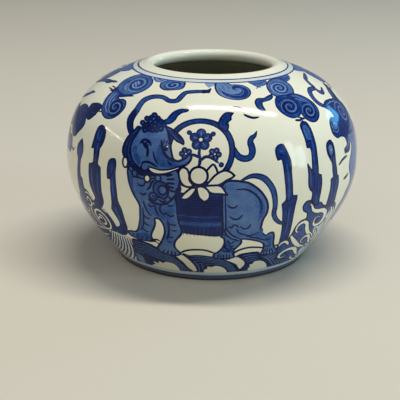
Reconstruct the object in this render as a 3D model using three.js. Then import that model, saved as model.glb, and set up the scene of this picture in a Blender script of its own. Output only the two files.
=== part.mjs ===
// A squat porcelain water pot for the calligrapher's desk, in millimetres, +Z up, with the origin at the centre of
// the circle that the foot stands on. The pot is thrown as two bowls: a lower one with the floor, and an upper one
// with the shoulder and the mouth. A ring of slip joins them rim to rim at the widest part, and the foot is turned
// under the floor. Every piece is a body of revolution about Z.
import * as THREE from "three";

const facets = 72;
const degrees = Math.PI / 180;

// Overall form, measured on the outside
const height = 64;
const bellyRadius = 48;
const bellyHeight = 33.4; // the middle of the joint, where the wall stands upright

// How far each curve holds its direction as it leaves an end, as a drawn curve's handles do
const footPull = 7;
const footSlope = 54 * degrees; // the lower wall leaves the foot at this angle from the table
const lowerPull = 13.5;
const upperPull = 25.6;
const lipPull = 4.6;
const lipSlope = 26 * degrees; // the shoulder still falls at this angle where it leaves the lip

// Walls
const wallThickness = 3.4;
const floorThickness = 4.2;
const floorDish = 0.8; // the floor is this much lower in the middle than at its edge
const floorFillet = 8; // from the floor into the wall

// Mouth: the wall thickens into a round lip
const mouthRadius = 19.2;
const lipThickness = 3.9;
const lipBlend = 5; // a higher power keeps the thickening closer to the lip

// Foot: a low ring, set in a little from the lower edge of the wall
const footHeight = 2.1;
const footRadius = 32.1; // outside, at the top of the ring
const footTaper = 0.3; // the ring is this much smaller at the bottom, outside
const footWidth = 4.3;
const footChamfer = 0.45;
const glazeStep = 0.5; // the glazed wall stands out this far from the ring
const baseRise = 1.1; // the base inside the foot is this much higher in the middle

// Joint between the two bowls
const slipThickness = 0.5;
const jointSwell = 0.6; // the wall is this much thicker at the joint, on the inside
const jointReach = 2.6; // and thins out over about this height on either side

// How many steps each curve takes
const wallSteps = 14;
const lipSteps = 10;
const smallSteps = 5;

const undercutRadius = footRadius + glazeStep;
const footInnerRadius = footRadius - footWidth;
const lowerJoint = bellyHeight - slipThickness / 2;
const upperJoint = bellyHeight + slipThickness / 2;
const innerJointRadius = bellyRadius - wallThickness - jointSwell;
const lipRadius = lipThickness / 2;

const point = (radius, level) => new THREE.Vector2(radius, level);
const towards = (angle, length) => point(length * Math.cos(angle), length * Math.sin(angle));

// The outer curve of the lower wall, from the foot up to the joint.
function lowerCurve() {
  const start = point(undercutRadius, footHeight);
  const end = point(bellyRadius, lowerJoint);
  return new THREE.CubicBezierCurve(
    start,
    start.clone().add(towards(footSlope, footPull)),
    point(bellyRadius, lowerJoint - lowerPull),
    end,
  );
}

// The outer curve of the upper wall, from the joint up to the lip.
function upperCurve() {
  const end = point(
    mouthRadius + lipRadius * (1 + Math.sin(lipSlope)),
    height - lipRadius * (1 - Math.cos(lipSlope)),
  );
  return new THREE.CubicBezierCurve(
    point(bellyRadius, upperJoint),
    point(bellyRadius, upperJoint + upperPull),
    end.clone().add(towards(-lipSlope, lipPull)),
    end,
  );
}

// Points along the inner face of a wall, each square to the outer curve at the given depth. The depth is a function
// of the share of the curve's length, and grows towards the joint.
function innerFace(curve, depth) {
  const points = [];
  for (let i = 0; i <= wallSteps; i += 1) {
    const share = i / wallSteps;
    const outer = curve.getPointAt(share);
    const along = curve.getTangentAt(share);
    const swell = jointSwell * Math.exp(-(((outer.y - bellyHeight) / jointReach) ** 2));
    const inwards = point(-along.y, along.x).multiplyScalar(depth(share));
    points.push(outer.add(inwards).sub(point(swell, 0)));
  }
  return points;
}

// Points of a circular arc about a centre, with its angles counted from outwards.
function arc(centre, radius, from, to, steps) {
  const points = [];
  for (let i = 0; i <= steps; i += 1) {
    points.push(centre.clone().add(towards(from + ((to - from) * i) / steps, radius)));
  }
  return points;
}

// A shallow dish or dome about the axis, from the axis outwards.
function crown(radius, edgeHeight, rise) {
  const points = [];
  for (let i = 0; i <= smallSteps; i += 1) {
    const share = i / smallSteps;
    points.push(point(radius * share, edgeHeight + rise * (1 - share ** 2)));
  }
  return points;
}

// Spins a profile about Z. The profile runs counter-clockwise, with the axis on its left.
function revolve(name, profile, material) {
  const geometry = new THREE.LatheGeometry(profile, facets);
  geometry.rotateX(Math.PI / 2);
  const mesh = new THREE.Mesh(geometry, material);
  mesh.name = name;
  return mesh;
}

// Repeats a profile's first point at its end.
const closed = (profile) => [...profile, profile[0].clone()];

const glazedPorcelain = new THREE.MeshStandardMaterial({
  name: "glazed_porcelain",
  color: 0xdfe2da,
  roughness: 0.08,
  metalness: 0,
});
const barePorcelain = new THREE.MeshStandardMaterial({
  name: "bare_porcelain",
  color: 0xcfc4b2,
  roughness: 0.75,
  metalness: 0,
});

// The lower bowl: base, wall up to the joint, and floor. It has one flat face for the foot and one for the slip.
function lowerBowl() {
  const base = crown(footInnerRadius - footChamfer, footHeight, baseRise);
  const outside = lowerCurve().getSpacedPoints(wallSteps);
  const floorHeight = footHeight + floorThickness;
  const inside = innerFace(lowerCurve(), () => wallThickness)
    .filter((p) => p.y > floorHeight + floorFillet / 3)
    .reverse();
  inside[0] = point(innerJointRadius, lowerJoint);
  const wallEnd = inside.at(-1);
  const slope = wallEnd.clone().sub(inside.at(-2));
  const corner = wallEnd.clone().add(slope.multiplyScalar((floorHeight - wallEnd.y) / slope.y));
  const floor = crown(corner.x - floorFillet, floorHeight, -floorDish).reverse();
  const fillet = new THREE.QuadraticBezierCurve(wallEnd, corner, floor[0]).getPoints(smallSteps);
  return revolve(
    "lower_bowl",
    [...base, ...outside, ...inside, ...fillet.slice(1, -1), ...floor],
    glazedPorcelain,
  );
}

// The upper bowl: wall, shoulder and lip, with a flat face for the slip.
function upperBowl() {
  const curve = upperCurve();
  const outside = curve.getSpacedPoints(wallSteps);
  const lipCentre = outside.at(-1).clone().add(towards(-Math.PI / 2 - lipSlope, lipRadius));
  const lip = arc(lipCentre, lipRadius, Math.PI / 2 - lipSlope, 1.5 * Math.PI - lipSlope, lipSteps);
  const depth = (share) => wallThickness + (lipThickness - wallThickness) * share ** lipBlend;
  const inside = innerFace(curve, depth).reverse().slice(1, -1);
  const rim = point(innerJointRadius, upperJoint);
  return revolve("upper_bowl", closed([...outside, ...lip.slice(1), ...inside, rim]), glazedPorcelain);
}

// The ring of slip between the rims of the two bowls.
function lutingSlip() {
  const profile = [
    point(innerJointRadius, lowerJoint),
    point(bellyRadius, lowerJoint),
    point(bellyRadius, upperJoint),
    point(innerJointRadius, upperJoint),
  ];
  return revolve("luting_slip", closed(profile), glazedPorcelain);
}

// The foot ring, chamfered on both sides where it meets the table.
function footRing() {
  const bottomRadius = footRadius - footTaper;
  const profile = [
    point(footInnerRadius + footChamfer, 0),
    point(bottomRadius - footChamfer, 0),
    point(bottomRadius, footChamfer),
    point(footRadius, footHeight),
    point(footInnerRadius, footHeight),
    point(footInnerRadius, footChamfer),
  ];
  return revolve("foot_ring", closed(profile), barePorcelain);
}

const pot = new THREE.Group();
pot.add(footRing(), lowerBowl(), lutingSlip(), upperBowl());

export default pot;
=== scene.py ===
"""A squat porcelain water pot painted in cobalt blue, dressed over its CAD frame.

The painting is drawn as brush marks on flat charts of the wall, in millimetres. It is then cut into the glaze
skin itself, so that every mark is real faces that know how much cobalt they carry.
"""
import logging
import math
from dataclasses import dataclass, field
from enum import Enum

import bpy
import numpy as np
from bpy.types import Material, Node, NodeSocket, NodeTree, Object
from mathutils import Matrix, Vector
from mathutils.geometry import delaunay_2d_cdt


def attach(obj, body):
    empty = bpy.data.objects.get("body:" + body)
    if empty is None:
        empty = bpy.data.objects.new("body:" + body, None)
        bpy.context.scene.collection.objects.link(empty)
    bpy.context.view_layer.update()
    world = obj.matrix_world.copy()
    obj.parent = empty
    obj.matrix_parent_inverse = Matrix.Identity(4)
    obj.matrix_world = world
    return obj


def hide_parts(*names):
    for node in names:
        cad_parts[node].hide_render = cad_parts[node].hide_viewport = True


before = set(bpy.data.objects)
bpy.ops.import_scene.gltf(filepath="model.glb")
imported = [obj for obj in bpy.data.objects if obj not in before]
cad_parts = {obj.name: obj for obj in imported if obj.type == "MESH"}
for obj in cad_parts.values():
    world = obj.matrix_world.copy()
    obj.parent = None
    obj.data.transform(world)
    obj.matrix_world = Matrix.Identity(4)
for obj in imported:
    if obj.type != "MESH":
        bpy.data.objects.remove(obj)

LOG = logging.getLogger("water_pot")
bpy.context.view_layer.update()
MM = 0.001
TURN = 2 * math.pi
SHEET_MARGIN = 0.005  # kept free at either side of the sheet that a finish is baked on
TINY = 1e-9  # less than any length or area that counts
Array = np.ndarray
Pair = tuple[float, float]
Colour = tuple[float, float, float]  # red, green and blue as a screen shows them, 0 to 255


class Tone(float, Enum):
    """How much cobalt a mark carries, from bare glaze to the darkest line."""

    BARE = 0.0
    PALE = 0.32
    SOFT = 0.45
    MID = 0.56
    DEEP = 0.72
    DARK = 0.86
    LINE = 0.97


# Paths


def lengths(line: Array) -> Array:
    """How far along a line each of its points lies."""
    return np.r_[0, np.cumsum(np.linalg.norm(np.diff(line, axis=0), axis=1))]


def unit(directions: Array) -> Array:
    """Directions of length 1."""
    return directions / np.linalg.norm(directions, axis=-1, keepdims=True)


def oval(x: float, y: float, across: float, up: float, count: int) -> Array:
    """The given number of points round an oval about x and y."""
    turn = np.linspace(0, TURN, count, endpoint=False)
    return np.stack([x + across / 2 * np.cos(turn), y + up / 2 * np.sin(turn)], -1)


def points(path: str | Array) -> tuple[Array, list[bool]]:
    """Reads a path written in tenths of a millimetre as x,y or x,y,width, where ! marks a sharp corner.

    Args:
        path: the points, parted by spaces, or as an array in millimetres.

    Returns:
        The points in millimetres, two or three numbers each, and for each whether it is a corner.
    """
    if isinstance(path, Array):
        return path, [False] * len(path)
    words = path.split()
    corners = [word.endswith("!") for word in words]
    return np.array([[float(n) for n in word.rstrip("!").split(",")] for word in words]) / 10, corners


def through(knots: Array, step: float) -> Array:
    """Draws a smooth curve through the knots, centripetal so that it never loops.

    Args:
        knots: the points to pass through, at least two.
        step: the greatest distance between two points of the curve.

    Returns:
        The curve's points, the first and last knots included.
    """
    if len(knots) == 2:
        count = max(2, int(np.linalg.norm(knots[1] - knots[0]) / step) + 2)
        share = np.linspace(0, 1, count)[:, None]
        return knots[0] * (1 - share) + knots[1] * share
    ends = np.concatenate([[2 * knots[0] - knots[1]], knots, [2 * knots[-1] - knots[-2]]])
    out = []
    for a, b, c, d in zip(ends, ends[1:], ends[2:], ends[3:]):
        t1 = np.linalg.norm(b - a) ** 0.5 + 1e-6
        t2 = t1 + np.linalg.norm(c - b) ** 0.5 + 1e-6
        t3 = t2 + np.linalg.norm(d - c) ** 0.5 + 1e-6
        count = max(2, int(np.linalg.norm(c - b) / step) + 2)
        t = np.linspace(t1, t2, count)[:-1, None]
        ab = a * (t1 - t) / t1 + b * t / t1
        bc = b * (t2 - t) / (t2 - t1) + c * (t - t1) / (t2 - t1)
        cd = c * (t3 - t) / (t3 - t2) + d * (t - t2) / (t3 - t2)
        abc = ab * (t2 - t) / t2 + bc * t / t2
        bcd = bc * (t3 - t) / (t3 - t1) + cd * (t - t1) / (t3 - t1)
        out.append(abc * (t2 - t) / (t2 - t1) + bcd * (t - t1) / (t2 - t1))
    out.append(knots[-1:])
    return np.concatenate(out)


def curve(path: str | Array, closed: bool = False, step: float = 0.6) -> Array:
    """Turns a written path into a curve that is smooth except at its corners.

    Args:
        path: the path, as points() reads it.
        closed: whether it comes back to its start.
        step: the greatest distance between two points of the curve.

    Returns:
        The curve's points. A closed curve doesn't repeat its first point.
    """
    knots, corners = points(path)
    if not closed:
        corners[0] = corners[-1] = True
    elif any(corners):
        first = corners.index(True)
        knots = np.concatenate([knots[first:], knots[: first + 1]])
        corners = corners[first:] + corners[: first + 1]
    else:
        lap = np.concatenate([knots[-2:], knots, knots[:2]])
        line = through(lap, step)
        near = np.linalg.norm(line - knots[0], axis=1)
        hits = np.flatnonzero(near < TINY)
        return line[hits[0]: hits[-1]]
    cuts = [i for i, corner in enumerate(corners) if corner]
    parts = [through(knots[a: b + 1], step)[:-1] for a, b in zip(cuts, cuts[1:])]
    return np.concatenate(parts if closed else [*parts, knots[-1:]])


# Brush marks


@dataclass(frozen=True)
class Mark:
    """One brush mark: a closed outline on a chart, and how much cobalt it holds."""

    outline: Array
    tone: float


Marks = list[Mark]


def swept(line: Array, width: Array) -> Array:
    """The outline that a round brush leaves along a line.

    Args:
        line: the brush's path.
        width: the brush's width at each point of the path.

    Returns:
        A closed outline, which may cross itself.
    """
    along = np.gradient(line, axis=0)
    along /= np.linalg.norm(along, axis=1, keepdims=True) + TINY
    side = np.stack([-along[:, 1], along[:, 0]], -1) * width[:, None] / 2
    caps = []
    for end, sign in ((-1, 1), (0, -1)):
        facing = math.atan2(sign * along[end][1], sign * along[end][0])
        turn = facing + np.linspace(math.pi / 2, -math.pi / 2, 6)[1:-1]
        caps.append(line[end] + np.stack([np.cos(turn), np.sin(turn)], -1) * width[end] / 2)
    return np.concatenate([line + side, caps[0], (line - side)[::-1], caps[1]])


def rim(outline: Array, width: float, tone: float) -> Mark:
    """A line of one width drawn right round an outline."""
    lap = np.concatenate([outline, outline[:2]])
    return Mark(swept(lap, np.full(len(lap), width)), tone)


def wash(shape: str | Array, tone: float, line: float = 0.0, ink: float = Tone.LINE) -> Marks:
    """A filled shape, with a drawn outline if a line width is given.

    Args:
        shape: the closed path round the shape, or its points.
        tone: the cobalt inside it.
        line: the width of the outline, or 0 for none.
        ink: the cobalt of the outline.

    Returns:
        The marks, fill first.
    """
    outline = curve(shape, closed=True)[:, :2] if isinstance(shape, str) else shape
    return [Mark(outline, tone)] + ([rim(outline, line, ink)] if line else [])


def washes(*paths: str, tone: float, line: float = 0.0) -> Marks:
    """Several filled shapes of one tone, as wash() draws them."""
    return [mark for path in paths for mark in wash(path, tone, line)]


def stroke(path: str | Array, width: float = 0.5, tone: float = Tone.LINE, core: float | None = None,
           ends: Pair = (0.6, 0.35), edge: float = 0.36) -> Marks:
    """A line drawn with the brush, thinner at its ends, with a lighter core if wanted.

    Args:
        path: the brush's path. Its points may carry their own widths.
        width: the full width where the points carry none.
        tone: the line's cobalt.
        core: the cobalt of the core, or None for a plain line.
        ends: the share of the width that is left at each end.
        edge: how wide the line's tone shows on either side of the core.

    Returns:
        The marks, the core last.
    """
    way = curve(path)
    line, wide = way[:, :2], way[:, 2] if way.shape[1] > 2 else np.full(len(way), width)
    far = lengths(line)
    share = np.minimum(far, far[-1] - far) / max(0.3 * far[-1], 1e-6)
    left = np.where(far < far[-1] / 2, *ends)
    wide = wide * (left + (1 - left) * np.sqrt(np.clip(share, 0, 1)))
    marks = [Mark(swept(line, wide), tone)]
    if core is not None:
        keep = slice(1, -1) if len(line) > 4 else slice(None)
        marks.append(Mark(swept(line[keep], np.maximum(wide - 2 * edge, 0.12)[keep]), core))
    return marks


def strokes(*paths: str | Array, width: float = 0.5, tone: float = Tone.LINE,
            ends: Pair = (0.6, 0.35)) -> Marks:
    """Several plain lines of one width.

    Args:
        paths: their paths.
        width: their full width.
        tone: their cobalt.
        ends: the share of the width that is left at each end.

    Returns:
        The marks in the given order.
    """
    return [mark for path in paths for mark in stroke(path, width, tone, ends=ends)]


def disc(x: float, y: float, across: float, tone: float, line: float = 0.5, up: float | None = None,
         ink: float = Tone.LINE) -> Marks:
    """A filled and drawn circle or oval.

    Args:
        x: its centre's place along the chart.
        y: its centre's place up the chart.
        across: its width.
        tone: the cobalt inside it.
        line: the width of its outline, or 0 for none.
        up: its height, if it isn't round.
        ink: the cobalt of its outline.

    Returns:
        The marks, fill first.
    """
    return wash(oval(x, y, across, up or across, max(14, int(across * 6))), tone, line, ink)


def coil(x: float, y: float, start: float, turns: float, radius: float, width: float, tone: float = Tone.DARK,
         squash: float = 1.0, inner: float = 0.16) -> Marks:
    """A spiral that winds in to its centre.

    Args:
        x: the centre's place along the chart.
        y: the centre's place up the chart.
        start: the angle in degrees at which its outer end lies.
        turns: how far it winds, negative for clockwise.
        radius: its outer radius.
        width: the line's width.
        tone: the line's cobalt.
        squash: its height over its width.
        inner: the share of the radius at which it ends.

    Returns:
        One mark.
    """
    share = np.linspace(0, 1, int(abs(turns) * 26) + 4)
    turn = math.radians(start) + TURN * turns * share
    reach = radius * (1 - (1 - inner) * share ** 0.9)
    line = np.stack([x + reach * np.cos(turn), y + squash * reach * np.sin(turn)], -1)
    thin = width * (0.5 + 0.5 * np.sin(math.pi * np.clip(share, 0.05, 0.95)) ** 0.5)
    return [Mark(swept(line, thin), tone)]


def fan(first: str, last: str, count: int, width: float, tone: float) -> Marks:
    """Parallel brush lines that fill the room between two paths of the same number of points.

    Args:
        first: the path of the first line.
        last: the path of the last line.
        count: how many lines there are.
        width: the width of each.
        tone: the cobalt of each.

    Returns:
        One mark for each line.
    """
    a, b = points(first)[0], points(last)[0]
    marks = []
    for share in np.arange(count) / (count - 1):
        line = through(a * (1 - share) + b * share, 0.7)
        wide = width * (0.45 + 0.55 * np.sin(math.pi * np.linspace(0.04, 0.96, len(line))) ** 0.5)
        marks.append(Mark(swept(line, wide), tone))
    return marks


# The pot's form


def bezier(a: Array, b: Array, c: Array, d: Array, steps: int) -> Array:
    """Points of a cubic curve with two handles.

    Args:
        a: its start.
        b: the handle of its start.
        c: the handle of its end.
        d: its end.
        steps: how many steps it takes.

    Returns:
        One point more than the steps.
    """
    t = np.linspace(0, 1, steps + 1)[:, None]
    return (1 - t) ** 3 * a + 3 * (1 - t) ** 2 * t * b + 3 * (1 - t) * t * t * c + t ** 3 * d


@dataclass
class PotForm:
    """The pot's profile in millimetres, as the CAD has it, with smooth curves in place of facets.

    Each curve of the wall has the given steps, and each circle the given sides. Inside, the glaze is left
    white for unshaded_reach below the lip, and then painted shade darkens it, coming up to full over
    shade_reach.
    """

    height: float = 64.0
    belly_radius: float = 48.0
    belly_height: float = 33.4
    foot_pull: float = 7.0
    foot_slope: float = math.radians(54)
    lower_pull: float = 13.5
    upper_pull: float = 25.6
    lip_pull: float = 4.6
    lip_slope: float = math.radians(26)
    wall: float = 3.4
    floor_thickness: float = 4.2
    floor_dish: float = 0.8
    floor_fillet: float = 8.0
    mouth_radius: float = 19.2
    lip_thickness: float = 3.9
    lip_blend: float = 5.0
    foot_height: float = 2.1
    foot_radius: float = 32.1
    foot_taper: float = 0.3
    foot_width: float = 4.3
    foot_chamfer: float = 0.45
    glaze_step: float = 0.5
    base_rise: float = 1.1
    slip: float = 0.5
    joint_swell: float = 0.6
    joint_reach: float = 2.6
    # painted shade inside the pot: none within unshaded_reach below the lip, full after a further shade_reach
    unshaded_reach: float = 8.0
    shade_reach: float = 14.0
    steps: int = 400
    sides: int = 240

    def __post_init__(self) -> None:
        """Works out the outer profile, and how far up the wall each of its points lies."""
        lip = self.lip_thickness / 2
        cos, sin = math.cos(self.lip_slope), math.sin(self.lip_slope)
        start = np.array([self.foot_radius + self.glaze_step, self.foot_height])
        low = np.array([self.belly_radius, self.belly_height - self.slip / 2])
        high = np.array([self.belly_radius, self.belly_height + self.slip / 2])
        end = np.array([self.mouth_radius + lip * (1 + sin), self.height - lip * (1 - cos)])
        leave = self.foot_pull * np.array([math.cos(self.foot_slope), math.sin(self.foot_slope)])
        self.lower = bezier(start, start + leave, low - [0, self.lower_pull], low, self.steps)
        arrive = self.lip_pull * np.array([cos, -sin])
        self.upper = bezier(high, high + [0, self.upper_pull], end + arrive, end, self.steps)
        turn = np.linspace(math.pi / 2 - self.lip_slope, 1.5 * math.pi - self.lip_slope, 40)
        centre = end - lip * np.array([sin, cos])
        self.lip = centre + lip * np.stack([np.cos(turn), np.sin(turn)], -1)
        wall = np.concatenate([self.lower, self.upper])
        far = lengths(wall)
        below = slice(self.steps + 2)
        self.up = far - np.interp(self.belly_height, wall[below, 1], far[below])
        self.wall_line = wall
        self.slope = unit(np.gradient(wall, self.up, axis=0))
        self.foot_line = self.up[0]

    @property
    def inner_radius(self) -> float:
        """The radius of the inside at the joint."""
        return self.belly_radius - self.wall - self.joint_swell

    @property
    def lap(self) -> float:
        """The way round the belly."""
        return TURN * self.belly_radius

    def radius_at(self, up: Array) -> Array:
        """The radius of the wall at each distance up it from the belly."""
        return np.interp(up, self.up, self.wall_line[:, 0])

    def skin(self, flat: Array) -> tuple[Array, Array]:
        """Puts points of the unrolled wall onto the pot.

        Args:
            flat: the points, as distance round the belly and distance up the wall.

        Returns:
            Their places and the wall's directions outwards there.
        """
        turn, up = flat[:, 0] / self.belly_radius, flat[:, 1]
        radius, level = self.radius_at(up), np.interp(up, self.up, self.wall_line[:, 1])
        along, rise = (np.interp(up, self.up, self.slope[:, i]) for i in (0, 1))
        sin, cos = np.sin(turn), np.cos(turn)
        places = np.stack([radius * sin, -radius * cos, level], -1)
        out = np.stack([rise * sin, -rise * cos, -along], -1)
        return places, unit(out)

    def inside(self, outer: Array, depth: Array) -> Array:
        """The wall's inner face, square to the outer one, with the swelling at the joint.

        Args:
            outer: points of the outer profile, from the bottom up.
            depth: the wall's thickness at each of them.

        Returns:
            As many points of the inner profile.
        """
        along = unit(np.gradient(outer, axis=0))
        inner = outer + np.stack([-along[:, 1], along[:, 0]], -1) * depth[:, None]
        off = (outer[:, 1] - self.belly_height) / self.joint_reach
        inner[:, 0] -= self.joint_swell * np.exp(-(off ** 2))
        return inner

    def upper_inside(self) -> Array:
        """The inner profile of the upper bowl, from the lip down to the joint."""
        outer = self.upper[::16]
        share = lengths(outer)
        depth = self.wall + (self.lip_thickness - self.wall) * (share / share[-1]) ** self.lip_blend
        inner = self.inside(outer, depth)[1:-1]
        rim = [self.inner_radius, self.belly_height + self.slip / 2]
        return np.concatenate([self.lip[-1:], inner[::-1], [rim]])

    def lower_inside(self) -> Array:
        """The inner profile of the lower bowl, from the joint down and in to the axis."""
        outer = self.lower[::10]
        inner = self.inside(outer, np.full(len(outer), self.wall))
        level = self.foot_height + self.floor_thickness
        inner = inner[inner[:, 1] > level + self.floor_fillet / 3][::-1]
        inner[0] = [self.inner_radius, self.belly_height - self.slip / 2]
        slope = inner[-1] - inner[-2]
        corner = inner[-1] + slope * (level - inner[-1][1]) / slope[1]
        edge = corner[0] - self.floor_fillet
        share = np.linspace(0, 1, 12)[1:, None]
        landing = np.array([edge, level])
        fillet = (1 - share) ** 2 * inner[-1] + 2 * share * (1 - share) * corner + share ** 2 * landing
        reach = np.linspace(1, 0, 14)[1:]
        floor = np.stack([edge * reach, level - self.floor_dish * (1 - reach ** 2)], -1)
        return np.concatenate([inner, fillet, floor])

    def base(self) -> Array:
        """The profile under the lower bowl, from the axis out to the glaze's edge."""
        inner = self.foot_radius - self.foot_width - self.foot_chamfer
        reach = np.linspace(0, 1, 14)
        dome = np.stack([inner * reach, self.foot_height + self.base_rise * (1 - reach ** 2)], -1)
        return np.concatenate([dome, [[self.foot_radius, self.foot_height], self.lower[0]]])

    def foot(self) -> Array:
        """The foot ring's profile, from the inside top down and out, with softened edges."""
        inner, outer = self.foot_radius - self.foot_width, self.foot_radius - self.foot_taper
        cut = self.foot_chamfer
        bend = ((0, cut), (0.12, cut * 0.42), (cut, 0.02), (cut + 0.2, 0))
        rise = [[inner + x, z] for x, z in bend]
        fall = [[outer - x, z] for x, z in reversed(bend)]
        return np.array([[inner, self.foot_height], *rise, *fall, [self.foot_radius, self.foot_height]])


@dataclass
class Painting:
    """The brush marks on the whole pot, unrolled, with the seam at the side.

    They keep a margin from the edges of the painted skin, which has rows of points below and above the belly.
    Points nearer to each other than weld become one.
    """

    form: PotForm
    top: float = 42.0
    seam: float = -90.0
    margin: float = 0.25
    rows_below: int = 26
    rows_above: int = 30
    weld: float = 2e-4
    laid: Marks = field(default_factory=list)

    @property
    def start(self) -> float:
        """Where the unrolled wall begins, at the seam."""
        return math.radians(self.seam) * self.form.belly_radius

    def lay(self, marks: Marks, centre: float, sway: float = 0.0) -> None:
        """Lays marks of a flat chart onto the unrolled wall.

        Args:
            marks: the marks, in the order of painting.
            centre: the angle in degrees round the pot at which the chart's x is 0.
            sway: how far in millimetres a freehand copy strays from the first one.
        """
        start, lap, belly = self.start, self.form.lap, self.form.belly_radius
        for mark in marks:
            x, y = mark.outline.T
            if sway:
                aside, aloft = np.sin(0.21 * y + 1.3 + 0.05 * x), np.sin(0.17 * x + 0.4 + 0.06 * y)
                x, y = x + sway * aside, y + 0.7 * sway * aloft
            y = np.clip(y, self.form.foot_line + self.margin, self.top - self.margin)
            flat = np.stack([math.radians(centre) * belly + x * belly / self.form.radius_at(y), y], -1)
            flat[:, 0] -= lap * math.floor((flat[:, 0].min() - start) / lap)
            self.laid.append(Mark(flat, mark.tone))
            if flat[:, 0].max() > start + lap:
                self.laid.append(Mark(flat - [lap, 0], mark.tone))

    def hoop(self, up: float, width: float, tone: float, waver: float = 0.05) -> None:
        """Paints a line right round the pot, as on a turning wheel.

        Args:
            up: its height up the wall.
            width: its width.
            tone: its cobalt.
            waver: how far its width strays.
        """
        belly, overlap = self.form.belly_radius, 0.2
        middle = (math.radians(self.seam) + TURN / 2) * belly
        x = np.linspace(-TURN / 2 - overlap, TURN / 2 + overlap, 260) * belly + middle
        stray = waver * (np.sin(x * 3 / belly) + 0.6 * np.sin(x * 8 / belly + 1))
        upper = np.stack([x, up + width / 2 + stray], -1)
        lower = np.stack([x, up - width / 2 - 0.4 * stray], -1)
        self.laid.append(Mark(np.concatenate([lower, upper[::-1]]), tone))

    def hoops(self) -> None:
        """Paints the two lines under the lip with the pale band between them, and above the foot a pale band
        of painted shade.
        """
        self.hoop(40.35, 2.1, 0.08)
        self.hoop(41.38, 0.55, 0.74)
        self.hoop(39.35, 0.6, 0.7, 0.06)
        # painted shade: a faint cobalt wash where the belly turns under towards the foot
        self.hoop(self.form.foot_line + 0.95, 1.6, 0.1, 0.04)
        self.hoop(self.form.foot_line + 0.2, 0.3, 0.3)

    def cut(self) -> tuple[Array, Array, Array]:
        """Cuts the unrolled wall along the edges of all the marks.

        Returns:
            The flat points, the triangles, and the cobalt of each triangle.
        """
        start, lap, sides = self.start, self.form.lap, self.form.sides
        low, high, half = self.form.foot_line, self.top, self.form.slip / 2
        rows = np.concatenate(
            [np.linspace(low, -half, self.rows_below), np.linspace(half, high, self.rows_above)])
        grid = []
        for i, row in enumerate(rows):
            shift = lap / sides / 2 if i % 2 and row not in (low, -half, half, high) else 0
            grid += [(x + shift, row) for x in start + np.linspace(0, lap, sides + 1)[:-1]]
        verts, edges, count = [np.array(grid)], [], len(grid)
        borders = [[[start, y], [start + lap, y]] for y in (low, -half, half, high)]
        borders += [[[x, low], [x, high]] for x in (start, start + lap / 2, start + lap)]
        for line in borders:
            verts.append(np.array(line))
            edges.append(np.array([[count, count + 1]]))
            count += 2
        for x in (start + lap, start):
            verts.append(np.stack([np.full(len(rows), x), rows], -1))
            count += len(rows)
        for mark in self.laid:
            n = len(mark.outline)
            order = np.arange(n)
            verts.append(mark.outline)
            edges.append(np.stack([order, (order + 1) % n], -1) + count)
            count += n
        verts, edges = np.concatenate(verts), np.concatenate(edges)
        out = delaunay_2d_cdt([Vector(v) for v in verts], edges.tolist(), [], 0, self.weld, False)
        flat, faces = np.array([tuple(v) for v in out[0]]), np.array(out[2])
        a, b, c = (flat[faces[:, i]] for i in range(3))
        area = (b[:, 0] - a[:, 0]) * (c[:, 1] - a[:, 1]) - (b[:, 1] - a[:, 1]) * (c[:, 0] - a[:, 0])
        faces[area < 0] = faces[area < 0][:, ::-1]
        middle = (a + b + c) / 3
        keep = np.all((middle > [start, low]) & (middle < [start + lap, high]), axis=1)
        keep &= np.abs(area) > TINY
        return flat, faces[keep], self.cobalt(middle[keep])

    def cobalt(self, spots: Array) -> Array:
        """Finds how much cobalt lies at each spot, the last mark over it deciding.

        Args:
            spots: the flat places.

        Returns:
            The cobalt at each.
        """
        tone = np.zeros(len(spots))
        order = np.argsort(spots[:, 0])
        across = spots[order, 0]
        for number, mark in enumerate(self.laid):
            (x0, y0), (x1, y1) = mark.outline.min(0), mark.outline.max(0)
            near = order[np.searchsorted(across, x0): np.searchsorted(across, x1)]
            near = near[(spots[near, 1] >= y0) & (spots[near, 1] <= y1)]
            if not len(near):
                continue
            x, y = spots[near].T[:, :, None]
            a, b = mark.outline, np.roll(mark.outline, -1, axis=0)
            rise = b[:, 1] - a[:, 1]
            a, b, rise = a[rise != 0], b[rise != 0], rise[rise != 0]
            crossed = (a[:, 1] <= y) != (b[:, 1] <= y)
            beyond = (b[:, 0] - a[:, 0]) / rise * (y - a[:, 1]) + a[:, 0] > x
            wind = np.where(crossed & beyond, np.sign(rise), 0).sum(1)
            hold = mark.tone * (1 + 0.05 * math.sin(number * 2.4)) if mark.tone < Tone.LINE else mark.tone
            tone[near[wind != 0]] = hold
        return tone


# The painted motifs, in millimetres on their charts


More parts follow.
